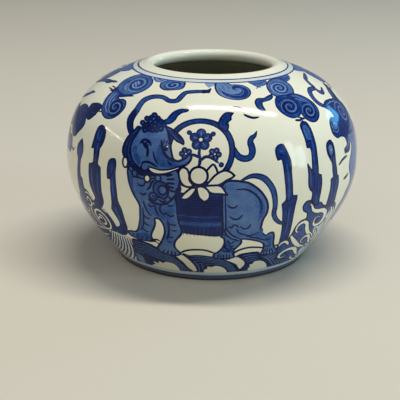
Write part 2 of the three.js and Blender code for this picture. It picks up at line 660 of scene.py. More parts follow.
@dataclass(frozen=True)
class Elephant:
    """An elephant in profile with a saddle cloth, that carries the lotus."""

    line: float = 0.72
    fold: float = 0.62
    body: float = 0.52
    shade: float = 0.61

    def behind(self) -> Marks:
        """The tail, which the body is painted over."""
        tail = ("126,43,8 144,52,13 160,57,16 178,56,18 198,48,20 214,33,20 229,9,20 236,-18,19 237,-46,17 "
                "234,-70,18 242,-92,19 258,-108,18 276,-114,12")
        return stroke(tail, core=0.63, edge=0.42, ends=(0.7, 0.6))

    def trunk_and_legs(self) -> Marks:
        """The body, its legs and the lines on them."""
        fore = (
            "-218,64 -220,37 -212,7 -199,-19 -186,-38 -180,-52 -180,-75 -182,-102 -188,-128 -194,-148 "
            "-205,-159 -222,-161 -234,-168 -228,-182 -212,-189 -194,-192 -175,-193 -152,-191 -146,-180 "
            "-149,-165 -144,-146 -136,-126 -131,-106 -131,-89 -119,-88 -108,-100 -102,-119 -102,-141 "
            "-108,-164 -118,-190 -130,-216 -129,-234 -116,-244 -90,-249 -67,-246 -58,-234 -66,-220 "
            "-74,-204 -74,-186 -67,-167 -57,-152 -49,-136 -50,-114 -56,-90 -59,-60 -60,-30 -65,-10 -60,10 "
            "-52,32 -53,54 -62,72 -100,90 -180,80"
        )
        rump = (
            "74,32 87,44 113,45 136,41 150,38 169,27 187,12 202,-7 211,-25 214,-47 210,-66 200,-84 "
            "195,-103 193,-125 199,-142 210,-152 221,-144 232,-142 236,-151 237,-170 236,-192 239,-214 "
            "247,-233 252,-244 244,-252 220,-253 196,-250 190,-244 197,-233 202,-214 202,-192 191,-179 "
            "173,-170 147,-161 132,-160 130,-177 117,-196 108,-209 104,-229 107,-248 80,-254 46,-250 "
            "46,-229 60,-216 73,-196 80,-170 78,-153 69,-144 74,-120 74,-60 74,0"
        )
        darker = [
            "-212,56 -216,30 -206,0 -194,-20 -200,10 -202,40",
            "-176,-54 -174,-90 -178,-130 -190,-154 -186,-126 -179,-90",
            "-96,-100 -94,-140 -102,-170 -94,-174 -86,-140 -90,-96",
            "194,-16 204,-46 196,-76 182,-94 186,-64 186,-32",
            "199,-120 202,-154 226,-156 230,-180 224,-204 212,-180 196,-168 176,-156",
            "90,-160 100,-176 98,-200 104,-224 84,-222 70,-210 82,-184 86,-164",
            "-130,-34 -84,-38 -66,-24 -68,-60 -90,-90 -120,-82 -150,-64 -160,-44",
            "-204,-168 -156,-158 -152,-186 -200,-187",
        ]
        pale = [
            "-194,16 -186,-14 -170,-26 -156,-16 -170,12 -180,24",
            "-170,-90 -154,-96 -148,-120 -162,-130 -172,-110", "-86,-82 -70,-88 -64,-114 -76,-126 -84,-106",
            "104,-14 136,-16 170,-36 176,-74 150,-94 114,-88 96,-50",
            "134,-116 174,-110 186,-128 164,-136 134,-130",
        ]
        folds = [
            "91,-29 99,-37 110,-38 120,-31", "97,-68 108,-77 121,-78 135,-64",
            "128,-105 139,-116 152,-114 161,-99", "91,-103 100,-110 110,-99 119,-103 124,-110",
            "117,-113 122,-129 139,-140 161,-146 184,-135",
            "116,19 136,19 154,14 173,1 186,-15 193,-33 194,-49 190,-60", "83,-96 90,-120 104,-140 128,-158",
            "79,-114 86,-138 100,-154 116,-164", "147,-148 174,-158 196,-169 212,-177",
            "209,-166 216,-176 223,-169", "90,-162 92,-174 102,-176 109,-166", "112,-156 118,-167 124,-163",
            "85,-180 80,-196 94,-204", "92,-184 98,-193 107,-186", "99,-196 103,-203 109,-200",
            "84,-205 92,-212 101,-207", "70,-212 84,-218 96,-212", "208,-202 217,-208 226,-202",
            "-90,-35 -81,-39 -72,-37", "-93,-65 -86,-72 -77,-74 -68,-69", "-84,-103 -74,-107 -64,-104",
            "-82,-127 -72,-130 -63,-127", "-90,-156 -82,-160 -76,-157", "-97,-179 -89,-182 -82,-180",
            "-108,-38 -114,-50 -110,-64 -99,-70 -94,-60", "-129,-38 -126,-60 -118,-76",
            "-149,-38 -145,-48 -132,-44", "-167,-34 -162,-50 -154,-68 -142,-82", "-168,-82 -158,-92 -147,-92",
            "-170,-106 -160,-118 -149,-120", "-178,-136 -166,-146 -154,-148",
            "-170,-56 -169,-90 -172,-122 -182,-146", "-90,-90 -87,-120 -90,-146 -96,-164",
            "-185,19 -175,13 -161,19", "-178,-7 -169,-13 -156,-7", "-195,41 -186,37 -178,40",
        ]
        hair = ["-91,53 -71,60", "-89,43 -66,46", "-89,32 -66,32", "-87,21 -67,19", "-80,10 -63,7"]
        toes = [
            "58,-252 58,-236 63,-229", "67,-254 66,-238 70,-230", "75,-254 74,-238 77,-230",
            "84,-254 83,-238 85,-230", "93,-253 92,-238 92,-231", "200,-249 206,-230 212,-216",
            "212,-252 215,-232 217,-218", "225,-252 224,-234 222,-220", "237,-250 233,-232 228,-220",
            "-115,-244 -112,-230 -106,-222", "-101,-248 -99,-234 -96,-224", "-88,-249 -86,-234 -85,-224",
            "-75,-248 -75,-234 -75,-226", "-218,-186 -216,-176 -209,-171", "-202,-190 -200,-178 -193,-172",
            "-185,-192 -183,-180 -177,-174", "-168,-192 -167,-180 -162,-174",
        ]
        marks = washes(fore, rump, tone=self.body, line=self.line)
        marks += washes(*darker, tone=self.shade) + washes(*pale, tone=0.5)
        marks += strokes(*folds, width=self.fold, ends=(0.5, 0.5))
        marks += strokes(*hair, width=0.7, ends=(0.9, 0.2))
        marks += strokes(*toes, width=0.46) + strokes("-154,-189 -144,-182 -132,-178 -120,-184", width=0.8)
        return marks + disc(-14.3, -18.6, 1.9, Tone.LINE, 0, up=1.5)

    def saddle(self) -> Marks:
        """The saddle cloth, with its bands, dots and fringe."""
        cloth = "-62,16! 74,14! 75,-60 74,-138! 54,-142 20,-139 -15,-136 -46,-132! -53,-95 -58,-60 -61,-20"
        marks = wash(cloth, Tone.DARK, 0.6)
        marks += fan("-56,-6 10,-7 72,-5", "-54,-64 10,-66 71,-64", 8, 0.34, Tone.LINE)
        marks += strokes("-56,-67 10,-70 72,-67", width=0.34, tone=Tone.DEEP)
        marks += wash("-55,-72! 10,-74 72,-71! 72,-84! 10,-87 -54,-84!", 0.8)
        marks += wash("-54,-87! 10,-90 72,-88! 71,-103! 10,-105 -52,-102!", 0.64)
        marks += fan("-53,-91 10,-94 71,-92", "-51,-99 10,-102 70,-99", 2, 0.24, Tone.DEEP)
        for i in range(13):
            marks += disc(-4.8 + i * 0.95, -7.8 - 0.02 * (6 - abs(i - 6)), 0.55, Tone.LINE, 0)
        for i in range(30):
            x = -4.75 + i * 0.41
            low = -13.6 - 0.8 * (0.5 + 0.5 * math.sin(i * 2.3)) - 0.015 * i
            thread = np.array([[x + 0.15, -11 - 0.5 * (i % 3)], [x, low]])
            marks += stroke(thread, 0.3, 0.78 if i % 3 == 1 else Tone.LINE, ends=(1, 0.3))
        marks += strokes("81,-146 85,-90 83,-10 82,32", "76,-142 77,-70 76,10", width=0.45)
        return marks + strokes("79.5,-90 79,-10 79,14", width=0.22, tone=Tone.SOFT)

    def chest(self) -> Marks:
        """The knotted collar under the head."""
        band = "-224,90 -206,63 -186,47 -164,46 -140,47 -120,53 -95,55 -80,63 -90,76 -160,74 -200,86"
        marks = wash("-134,12 -128,28 -112,35 -96,29 -87,14 -88,-6 -98,-18 -114,-14 -126,-6", self.shade, 0.6)
        marks += disc(-10.4, 0.9, 2.7, Tone.SOFT + 0.04, 0.6)
        marks += disc(-13.4, -1.5, 2.6, Tone.MID, 0.6)
        marks += coil(-13.4, -1.5, 200, 1.1, 0.9, 0.42, Tone.LINE)
        marks += strokes(
            "-150,-24 -142,-32 -124,-36 -104,-36 -84,-26 -69,-8 -61,6", "-154,4 -144,14 -140,26 -128,38",
            "-86,-8 -78,-16 -70,-16", "-116,-22 -104,-28 -92,-22", "-94,30 -86,22 -82,12",
            "-164,22 -154,30 -142,32", width=0.75)
        return marks + wash(band, 0.92, 0.3)

    def head(self) -> Marks:
        """The head with its eyes, trunk, tusk, ear, crown of curls and bead collar."""
        band = (
            "-194,189 -204,177 -217,164 -229,149 -238,132 -243,114 -242,101 -233,87 -216,70 -200,62 "
            "-180,54 -150,50 -160,66 -190,78 -204,94 -210,114 -206,142 -196,164 -180,186"
        )
        face = (
            "-181,186 -197,163 -209,142 -214,122 -211,101 -203,84 -189,72 -172,62 -150,54 -120,54 -90,62 "
            "-60,81 -48,85 -36,89 -24,100 -19,114 -25,122 -35,111 -48,103 -60,99 -72,104 -78,119 -82,136 "
            "-84,151 -88,163 -96,189 -104,200 -140,206"
        )
        ear = "-104,201! -84,194 -66,182 -51,169 -44,157 -44,149! -54,154 -66,159 -76,169 -87,178 -96,189"
        marks = wash(band, 0.9, 0.5)
        marks += strokes(
            "-193,180 -212,159 -226,137 -233,114 -229,94",
            "-187,178 -205,156 -217,134 -221,112 -216,92 -200,74", width=0.26, tone=0.66)
        marks += wash(face, self.body + 0.02, self.line)
        marks += wash(
            "-116,144 -108,126 -90,110 -74,102 -60,87 -84,79 -120,82 -128,104 -124,130", self.shade + 0.03)
        marks += wash("-194,158 -182,176 -158,168 -126,170 -122,148 -144,156 -170,160", Tone.SOFT + 0.06)
        marks += wash("-206,124 -200,94 -180,76 -178,94 -190,110 -192,130", self.shade)
        marks += strokes(
            "-180,140 -171,150 -162,152 -152,149 -143,136", "-173,146 -163,132 -154,127", width=0.85)
        marks += disc(-15.9, 13.9, 1.6, Tone.LINE, 0, up=1.7)
        marks += strokes("-156,130 -154,120 -156,103", width=0.9, ends=(0.9, 0.5))
        marks += strokes("-112,156 -108,136 -101,119 -89,107 -71,100", width=1.05, ends=(0.5, 0.8))
        marks += strokes(
            "-111,146 -112,157", "-104,149 -103,161", "-96,149 -93,159", "-89,148 -86,156", width=0.42,
            ends=(1, 0.3))
        marks += disc(-9.6, 13.5, 1.2, Tone.LINE, 0, up=2)
        marks += disc(-9.3, 13.9, 0.5, Tone.BARE, 0)
        marks += disc(-15.5, 14.1, 0.4, Tone.SOFT, 0)
        marks += strokes("-136,119 -131,101 -120,84", "-89,99 -84,90 -76,87", width=0.6)
        marks += wash("-174,75 -166,64 -146,73! -142,57 -163,52 -184,54", Tone.LINE)
        marks += strokes("-173,74 -168,85 -151,88 -133,82 -119,76", width=0.7)
        marks += wash(
            "-149,74! -133,72 -113,69 -89,72 -69,78 -47,87! -54,78 -72,69 -95,60 -119,56 -136,58 -148,66",
            Tone.BARE, 0.5)
        marks += wash(ear, self.shade, 0.62)
        marks += strokes("-94,191 -72,176 -50,156", "-84,190 -64,175 -50,162", width=0.36)
        curls = (
            (-16.9, 18.1, 0.8), (-15.7, 18.5, 0.75), (-13.1, 18.7, 0.85), (-11.7, 19.1, 0.8),
            (-10.7, 20.5, 0.7), (-14.4, 18.3, 0.7), (-17.9, 20.2, 0.8), (-16.6, 19.7, 0.85),
            (-14.8, 19.9, 0.8), (-12.6, 20.4, 0.8), (-11.9, 21.5, 0.75), (-13.8, 21, 0.85), (-15.4, 21, 0.8),
            (-16.6, 21.8, 0.8), (-12.9, 22.3, 0.8), (-14.2, 23.2, 0.9), (-15.2, 22.4, 0.7))
        for number, (x, y, r) in enumerate(curls):
            marks += disc(x, y, 2.2 * r, 0.9, 0.3)
            marks += disc(x + 0.1, y + 0.05, 0.6 * r, (0.62, Tone.DEEP, 0.68)[number % 3], 0)
        marks += disc(-23.1, 7.6, 1.9, Tone.BARE, 0.62, up=3.1) + disc(-19.6, 4.8, 1.9, Tone.MID, 0.6, up=2.2)
        marks += disc(-15.35, 3.9, 2.0, Tone.BARE, 0.62, up=2.2) + disc(-11.9, 4.4, 1.9, Tone.SOFT, 0.58)
        return marks + strokes(
            "-222,62 -210,54 -205,50", "-186,42 -174,36 -164,37", "-143,39 -129,42")

    def marks(self) -> Marks:
        """The whole beast, in the order of painting."""
        return self.behind() + self.trunk_and_legs() + self.chest() + self.saddle() + self.head()


@dataclass(frozen=True)
class Roundel:
    """A ring with a plum blossom in it, and the lotus that holds it up."""

    x: float = 0.5
    y: float = 13.05
    across: float = 18.9
    band: float = 1.9

    def ring(self) -> Marks:
        """The ring, dark at both edges."""
        shape = oval(self.x, self.y, self.across, self.across, 90)
        return [rim(shape, self.band, Tone.LINE), rim(shape, self.band - 1.0, Tone.DEEP)]

    def blossom(self) -> Marks:
        """A spray of plum: a bent twig with a bud, a side bloom on either hand and an open one on top."""
        marks = strokes(
            "2,82 7,104 3,126 6,146", "5,102 23,116 42,112 60,99", "4,114 -16,120 -32,110 -50,96", width=0.95,
            tone=Tone.DARK, ends=(0.9, 0.5))
        for x, y, reach, lean in ((0.6, 16.6, 2.0, 90), (-3.6, 12.2, 1.15, 110), (4.9, 12.4, 1.15, 66)):
            for turn in np.radians(lean + 72 * np.arange(5)):
                out = np.array([math.cos(turn), math.sin(turn)])
                marks += disc(x + reach * out[0], y + reach * out[1], reach * 1.3, Tone.DEEP, 0.4)
                fold = [x, y] + np.outer((0.6 * reach, 1.3 * reach), out)
                marks += stroke(fold, 0.3, Tone.SOFT)
            marks += disc(x, y, reach * 0.7, Tone.BARE, 0.36)
        for x, y in ((-2.9, 18.6), (4.1, 18.4), (-5.9, 8.9), (6.9, 9.3)):
            marks += disc(x, y, 1.3, Tone.DEEP, 0.3)
        return marks + strokes("-26,180 -16,172", "37,178 28,170")

    def lotus(self) -> Marks:
        """The lotus: petals left white, each with its line, round the pod."""
        petals = [
            "-53,32 -49,18 -53,5! -34,4 -20,12 -8,26 -25,27 -40,28",
            "-55,70 -44,82 -31,78 -24,62 -23,46 -12,30 -16,26 -34,26 -47,36 -54,54",
            "26,72 35,85 46,94 56,79 60,63 54,48 41,39 26,42",
            "57,66 79,76 95,72 109,61! 101,54 86,47 71,37 53,31 27,31 36,44",
            "24,28 47,32 69,30 89,3! 69,6 43,8 29,18",
            "-49,-14! -30,-13 -13,2 -3,22 -15,23 -32,10 -44,-3",
            "0,25 2,5 7,-7 21,-19! 33,-12 38,2 30,19 15,28",
        ]
        return washes(*petals, tone=Tone.BARE, line=0.68) + disc(0.4, 5.9, 5.3, Tone.BARE, 0.74)


@dataclass(frozen=True)
class Ribbons:
    """The long ribbons that blow about the elephant and the roundel."""

    core: float = 0.62
    edge: float = 0.45

    def ribbon(self, path: str, core: float | None = None) -> Marks:
        """One ribbon: a dark edge on either side, a mid blue fill and a fine line down it."""
        marks = stroke(path, tone=0.92, core=core or self.core, ends=(0.9, 0.75), edge=self.edge)
        return marks + strokes(points(path)[0][:, :2], width=0.26, tone=Tone.DEEP)

    def back(self) -> Marks:
        """The ribbons that go behind the head and the ring."""
        marks = self.ribbon(
            "-214,164,24 -223,186,28 -224,206,28 -216,224,25 -206,242,23 -199,260,21 -186,282,20 "
            "-156,301,19 -124,304,19 -100,292,19 -77,296,19 -66,314,20 -54,334,19 -28,342,20 -4,345,20 "
            "10,347,20")
        marks += wash("-2,353! 9,353 21,363! 20,351 18,338! 9,338 -2,335!", Tone.DARK, 0.3)
        marks += stroke(
            "-214,164,22 -223,186,26 -224,206,26 -216,224,23 -208,244,12", tone=Tone.LINE, core=0.9,
            ends=(0.9, 0.1))
        marks += self.ribbon("-110,213,17 -94,218,23 -84,230,26 -76,244,23 -60,256,19 -42,260,16", Tone.DEEP)
        return marks + self.ribbon(
            "104,139,16 112,124,19 122,114,20 138,109,20 154,113,21 160,127,22 157,143,21 152,157,20 "
            "155,168,19 165,176,15 170,188,6")

    def over(self) -> Marks:
        """The knot at the ring's right and the short ends above it."""
        knot = "56,224 62,240 74,254 95,253! 89,241 90,230! 81,221 84,208 79,194 60,204 54,214"
        marks = wash(knot, Tone.DEEP, 0.6, 0.92)
        marks += strokes("67,212 67,228 79,246", "76,208 77,220 86,226", width=0.4, tone=Tone.DARK)
        marks += strokes("129,246 141,239 158,233 176,234", width=0.85)
        marks += strokes("94,278 106,276 120,270 130,265", width=0.34, tone=Tone.DARK)
        end = (
            "162,294 167,304 190,303 202,310 215,316! 220,306 212,296 196,292 184,288 185,274 196,254! "
            "182,258 170,270 164,282"
        )
        marks += wash(end, self.core, 0.6, 0.92)
        return marks + strokes("177,270 173,288 186,297 206,305", width=0.34, tone=Tone.DARK)


@dataclass(frozen=True)
class Ground:
    """The rocks and waves at the elephant's feet."""

    line: float = 0.6
    rock: float = 0.92
    vein: float = 0.48

    def marks(self) -> Marks:
        """The arcs, the dark rocks with their fine lines, and the white leaves and hills."""
        marks = wash(
            "-222,-202 -196,-200 -166,-209 -138,-222 -124,-240 -90,-248 -70,-266 -54,-292 -40,-318 "
            "-29,-337 -226,-337 -226,-310 -224,-280 -224,-254 -224,-230", self.rock, self.line)
        marks += fan(
            "-220,-210 -176,-214 -126,-242 -88,-262 -36,-336",
            "-220,-274 -180,-266 -140,-278 -104,-292 -64,-334", 6, 0.3, self.vein)
        marks += wash("-224,-286 -198,-280 -170,-286 -146,-304 -158,-337 -226,-337 -226,-310", Tone.DARK)
        marks += fan("-222,-286 -204,-294 -194,-336", "-224,-314 -216,-320 -214,-338", 4, 0.6, Tone.PALE)
        marks += wash(
            "-200,-195 -170,-195 -150,-193 -139,-189 -126,-196 -129,-210 -137,-218 -154,-208 -176,-202",
            Tone.BARE, 0.5)
        marks += wash(
            "-162,-355! -163,-332 -150,-324! -157,-309 -139,-315! -134,-300 -123,-308! -112,-297 -88,-300 "
            "-77,-311 -70,-327 -65,-355!", Tone.BARE)
        arch = (
            "-50,-234 -30,-242 -10,-239 8,-239 35,-244 56,-252 77,-262 91,-276 105,-294 112,-314 118,-337 "
            "-12,-337 -13,-310 -20,-284 -34,-256"
        )
        marks += wash(arch, self.rock, self.line)
        marks += fan(
            "-42,-242 -10,-245 30,-249 70,-266 94,-290 112,-338",
            "2,-306 16,-292 46,-286 68,-294 82,-310 90,-334", 5, 0.3, self.vein)
        marks += fan("-18,-276 -6,-300 -4,-338", "4,-286 8,-310 9,-338", 2, 0.3, self.vein)
        marks += wash(
            "11,-355! 12,-322 22,-313! 22,-302 37,-304! 46,-297 62,-301 74,-313 80,-328 84,-355!", Tone.BARE)
        marks += wash(
            "-76,-250 -66,-241 -53,-240 -40,-253 -24,-279 -13,-308 -11,-334 -22,-336 -40,-316 -55,-284 "
            "-70,-262", Tone.BARE, 0.55)
        wedge = (
            "116,-245 128,-235 147,-231 184,-232 189,-248 196,-266 226,-284 244,-337 116,-337 124,-324 "
            "140,-304 144,-276 134,-256"
        )
        marks += wash(wedge, self.rock, self.line)
        marks += fan("134,-246 158,-241 182,-244", "148,-286 162,-276 186,-276", 4, 0.3, self.vein)
        marks += wash(
            "78,-262 91,-258 110,-247 120,-249 133,-264 142,-284 140,-300 132,-314 123,-325 117,-314 "
            "110,-292 96,-278", Tone.BARE, 0.5)
        marks += wash(
            "151,-355! 150,-326 157,-316! 157,-301 166,-299! 172,-286 189,-284! 199,-289 207,-298! "
            "214,-312 218,-355!", Tone.BARE)
        marks += wash(
            "190,-250 220,-252 266,-248 296,-278 330,-316 346,-337 234,-337 222,-312 210,-286 194,-272",
            self.rock, 0.5)
        marks += fan("198,-260 222,-286 242,-334", "270,-256 300,-292 330,-334", 8, 0.4, Tone.SOFT)
        return marks + strokes(
            "-55,-228 -42,-218 -20,-210 2,-208 21,-210 43,-221",
            "104,-229 117,-216 136,-206 158,-202 180,-205 199,-211", "236,-212 254,-210 270,-218", width=0.9,
            ends=(0.9, 0.9))


def foam(*paths: str) -> Marks:
    """White scrolls of foam with a dark line on either side.

    Args:
        paths: their paths, with widths.

    Returns:
        For each the dark mark, and the white one over it.
    """
    return [mark for path in paths for mark in stroke(path, core=Tone.BARE, edge=0.42, ends=(0.7, 0.5))]


def curl(*spiral: float, width: float, line: float) -> Marks:
    """A white coil of foam with a line on either side.

    Args:
        spiral: its centre, starting angle, turns and radius, as coil() takes them.
        width: its width, lines included.
        line: the width of the lines.

    Returns:
        The line's mark, then the white core's.
    """
    dark = coil(*spiral, width, Tone.LINE, inner=0.22)
    return dark + coil(*spiral, width - 2 * line, Tone.BARE, inner=0.22)


@dataclass(frozen=True)
class Posts:
    """The tall knotted posts that stand in the water on either side."""

    tone: float = 0.8
    line: float = 0.5

    def post(self, outline: str, *streaks: str) -> Marks:
        """One post: a dark edge, a deep fill and faintly lighter streaks down it."""
        return wash(outline, self.tone, self.line) + strokes(*streaks, width=0.6, tone=0.62)

    def right(self) -> Marks:
        """The three posts at the right."""
        marks = self.post(
            "-153,116 -150,130 -138,140 -123,141 -118,128 -113,110 -108,85 -110,55 -108,20 -106,-10 "
            "-104,-17 -89,-19! -89,-33 -91,-50 -89,-85 -83,-120 -75,-155 -67,-190 -54,-220! -84,-234! "
            "-90,-210 -100,-175 -113,-130 -125,-90 -133,-60 -139,-40! -128,-29 -129,0 -133,40 -135,80 "
            "-138,99 -151,97!",
            "-123,80 -120,40 -118,0 -116,-40", "-110,-55 -106,-90 -92,-150", "-139,126 -128,120")
        marks += strokes(
            "-142,116 -136,108 -132,116", "-129,-26 -120,-34 -106,-20", "-118,-40 -112,-80 -98,-140",
            width=0.45)
        marks += self.post(
            "-39,188 -28,199 -13,198 -5,180 -3,150 -3,120 -5,90 -5,50 -4,33 8,28! 11,5 9,-30 8,-55 16,-74 "
            "14,-100! -26,-100! -28,-50 -28,-20 -38,-10! -45,5 -46,40 -48,73! -32,50 -28,75 -28,118 "
            "-40,120! -39,140 -40,172",
            "-28,186 -26,146", "-16,180 -14,100", "-22,110 -18,40", "-39,50 -36,0", "-6,20 -6,-60")
        marks += wash("-34,180 -26,189 -16,186 -12,160 -16,142 -28,140 -33,156", Tone.MID)
        marks += strokes("-24,180 -22,146", width=0.3)
        marks += strokes("-38,132 -30,140 -16,136", "-28,46 -22,20 -24,-16", "-6,32 -8,0 -4,-40")
        marks += self.post(
            "45,112 53,120 70,123 80,110 83,85 83,55 88,30 93,8 100,5! 103,-20 100,-60 104,-100! 52,-100! "
            "55,-60 58,-20 57,4! 68,8 65,30 63,55 53,70 44,90",
            "73,70 76,40 80,16", "68,-6 70,-70", "90,-6 90,-70")
        marks += wash("52,106 64,113 74,104 74,84 62,76 52,90", Tone.SOFT, 0.3)
        # painted highlight: a pale spot on the top of the rightmost post
        marks += disc(6.6, 9.4, 0.9, Tone.PALE, 0)
        return marks + strokes("-46,207 -30,206 -20,212 -6,208", "-22,200 -22,214", width=0.6)

    def left(self) -> Marks:
        """The three posts at the left."""
        marks = self.post(
            "-88,74 -76,92 -63,103! -50,88 -45,65 -50,52 -55,40 -58,10 -55,-14 -45,-20! -42,-50 -44,-85 "
            "-50,-120 -90,-120 -88,-85 -83,-50 -80,-15 -78,10 -75,40 -84,52",
            "-68,76 -66,20 -68,-10", "-70,-30 -70,-90")
        marks += self.post(
            "8,158 20,166 40,160 50,148 54,125 50,108 44,98 45,75 45,48 58,40! 60,15 60,-35 60,-70 46,-90 "
            "26,-103 4,-104! 5,-86 20,-70 15,-50 5,-30 0,5 0,40! 20,48 20,75 15,94 3,90! 5,115 5,140",
            "18,150 22,120", "34,150 32,100 32,50", "14,30 16,-10 30,-70", "44,20 44,-30 44,-70")
        marks += strokes("10,124 26,114 46,120", "21,44 32,36 46,44", "28,30 30,-20 34,-60")
        marks += self.post(
            "93,66 100,75 117,78 123,63 123,40 125,15 128,-20 128,-50 135,-80 133,-110 128,-145 119,-166 "
            "108,-182 90,-191 64,-189 54,-174 68,-164 86,-160 100,-150 105,-130 100,-110 92,-88! 102,-60 "
            "105,-20 103,15 92,14! 90,40",
            "108,60 112,10 116,-50", "110,-80 112,-140")
        return marks + strokes(
            "96,14 108,24 114,46", "104,-66 116,-72 129,-64", "120,-80 120,-130 110,-160")


@dataclass(frozen=True)
class Waves:
    """The rolling water between the posts, with white scrolls of foam."""

    deep: float = 0.68
    line: float = 0.5

    def right(self) -> Marks:
        """The scrolls of foam at the right, with their long tails."""
        marks = wash(
            "-57,-59 -46,-47 -28,-49 -14,-62 6,-72 18,-64 34,-78 60,-88 84,-94 108,-90 128,-120 140,-180 "
            "146,-260 150,-344! 40,-344! 20,-324 -6,-310 -34,-304 -60,-290 -66,-264 -84,-236 -90,-206 "
            "-66,-188 -60,-166 -60,-140 -48,-118 -28,-112 -32,-90 -50,-78", self.deep - 0.06, 0.6)
        marks += wash(
            "42,-166 66,-172 84,-128 104,-104 126,-124 138,-180 144,-260 148,-344! 62,-344! 48,-290 60,-240",
            0.1)
        marks += fan("70,-180 96,-260 110,-340", "112,-112 134,-190 146,-320", 5, 0.34, Tone.PALE)
        marks += foam(
            "88,-96,12 106,-120,19 116,-160,20 122,-220,18 126,-280,12",
            "80,-140,10 92,-180,17 100,-240,17 104,-290,11",
            "54,-180,10 74,-210,16 84,-256,15 90,-300,10",
            "-32,-56,11 -20,-66,16 -7,-85,20 16,-95,22 42,-99,23 64,-113,24 70,-138,23 58,-157,21 "
            "36,-158,19 20,-144,16 19,-126,15 32,-119,13 43,-127,11")
        marks += disc(3.4, -13.6, 1.3, Tone.LINE, 0)
        marks += foam(
            "74,-226,10 46,-204,18 16,-182,21 -3,-157,22 -15,-134,20 -32,-125,19 -49,-134,18 -51,-152,17 "
            "-40,-166,15 -27,-159,11",
            "94,-266,10 64,-246,16 49,-223,18 32,-204,18 14,-203,16 7,-218,14 15,-232,13 29,-227,10")
        marks += disc(2.3, -21.9, 0.9, Tone.LINE, 0)
        marks += foam(
            "-60,-176,18 -40,-199,22 -10,-228,23 16,-249,20 46,-262,15 74,-276,9",
            "66,-318,10 40,-300,17 20,-278,21 2,-259,22 -19,-250,21 -41,-254,20 -52,-270,19 -46,-288,17 "
            "-29,-294,15 -15,-284,11")
        marks += disc(-2.9, -27.2, 1.5, Tone.LINE, 0)
        marks += foam("-44,-228,10 -56,-210,16 -73,-200,17 -85,-210,15 -81,-225,10")
        return marks + foam("80,-342,10 50,-334,14 22,-316,15 14,-296,11")

    def left(self) -> Marks:
        """The great coil and the combed water at the left."""
        marks = wash(
            "-100,-96 -70,-60 -46,-52 -20,-58 0,-82 24,-96 50,-104 68,-126 74,-156 62,-184 38,-194 10,-216 "
            "-20,-250 -60,-280 -120,-304 -130,-240 -120,-160", self.deep + 0.06, 0.5)
        marks += curl(0.9, -14.9, 40, 2.2, 6.0, width=1.5, line=0.4)
        marks += curl(-3.2, -9.2, 20, 1.5, 3.3, width=1.2, line=0.34)
        marks += disc(0.2, -16, 3.2, Tone.LINE, 0, up=2.6)
        marks += strokes("-12,-156 2,-146 16,-148", width=0.6, tone=Tone.BARE)
        marks += curl(-7.4, -13, 60, 1.4, 2.8, width=1.1, line=0.32)
        marks += curl(-7.6, -18.4, 60, 1.3, 2.6, width=1.0, line=0.3)
        marks += foam(
            "-100,-206,10 -60,-209,14 -24,-202,15 6,-202,10",
            "-110,-250,10 -70,-248,14 -30,-236,15 -4,-226,10",
            "-120,-286,10 -90,-276,13 -60,-268,13 -36,-256,9")
        marks += wash(
            "16,-196 40,-192 66,-194 94,-198 112,-202 110,-224 96,-260 82,-290 66,-316 42,-344! -150,-344! "
            "-130,-310 -66,-284 -22,-252 4,-222", Tone.BARE, 0.3)
        marks += fan("26,-198 -6,-236 -60,-280 -130,-314", "104,-208 90,-252 66,-296 28,-338", 9, 0.74, 0.74)
        return marks + wash("-150,-344! -120,-330 -60,-326 0,-334 40,-344!", Tone.DARK)

    def between(self) -> Marks:
        """The water at the side, where the two panels meet: foam over rows of arched waves."""
        marks = wash(
            "-180,-200 -156,-152 -120,-122 -80,-112 -46,-126 -30,-146 0,-140 32,-148 46,-120 78,-102 "
            "116,-108 148,-140 180,-190 190,-344! -200,-344! -190,-260", self.deep, 0.5)
        marks += foam(
            "-146,-220,10 -130,-174,18 -102,-142,21 -72,-134,21 -54,-150,18 -62,-172,16 -82,-168,11",
            "150,-220,10 138,-166,18 110,-130,21 78,-124,21 60,-142,18 68,-164,16 88,-158,11",
            "-46,-230,10 -34,-190,17 -8,-166,19 18,-170,18 26,-192,16 10,-204,11",
            "-110,-220,9 -94,-196,14 -64,-194,11",
            "108,-220,9 94,-190,14 66,-184,11",
            "44,-230,9 52,-206,13 46,-184,10")
        arches = (
            (-12, -25.4, 5.2), (-1.4, -24.6, 5.6), (9.8, -25, 5.4), (-17.4, -30, 5), (-6.8, -29.8, 5.4),
            (4.4, -29.6, 5.8), (15, -30, 5.2), (-12.4, -35, 5.4), (-1.2, -35, 5.8), (10.2, -35.2, 5.6),
        )
        for x, y, reach in arches:
            marks += disc(x, y, 2 * reach, 0.84, self.line)
            for share in (0.8, 0.62):
                marks += disc(x, y, 2 * reach * share, 0.84, 0.26, ink=Tone.SOFT)
            marks += disc(x, y, 0.8 * reach, Tone.BARE, 0.4)
        return marks


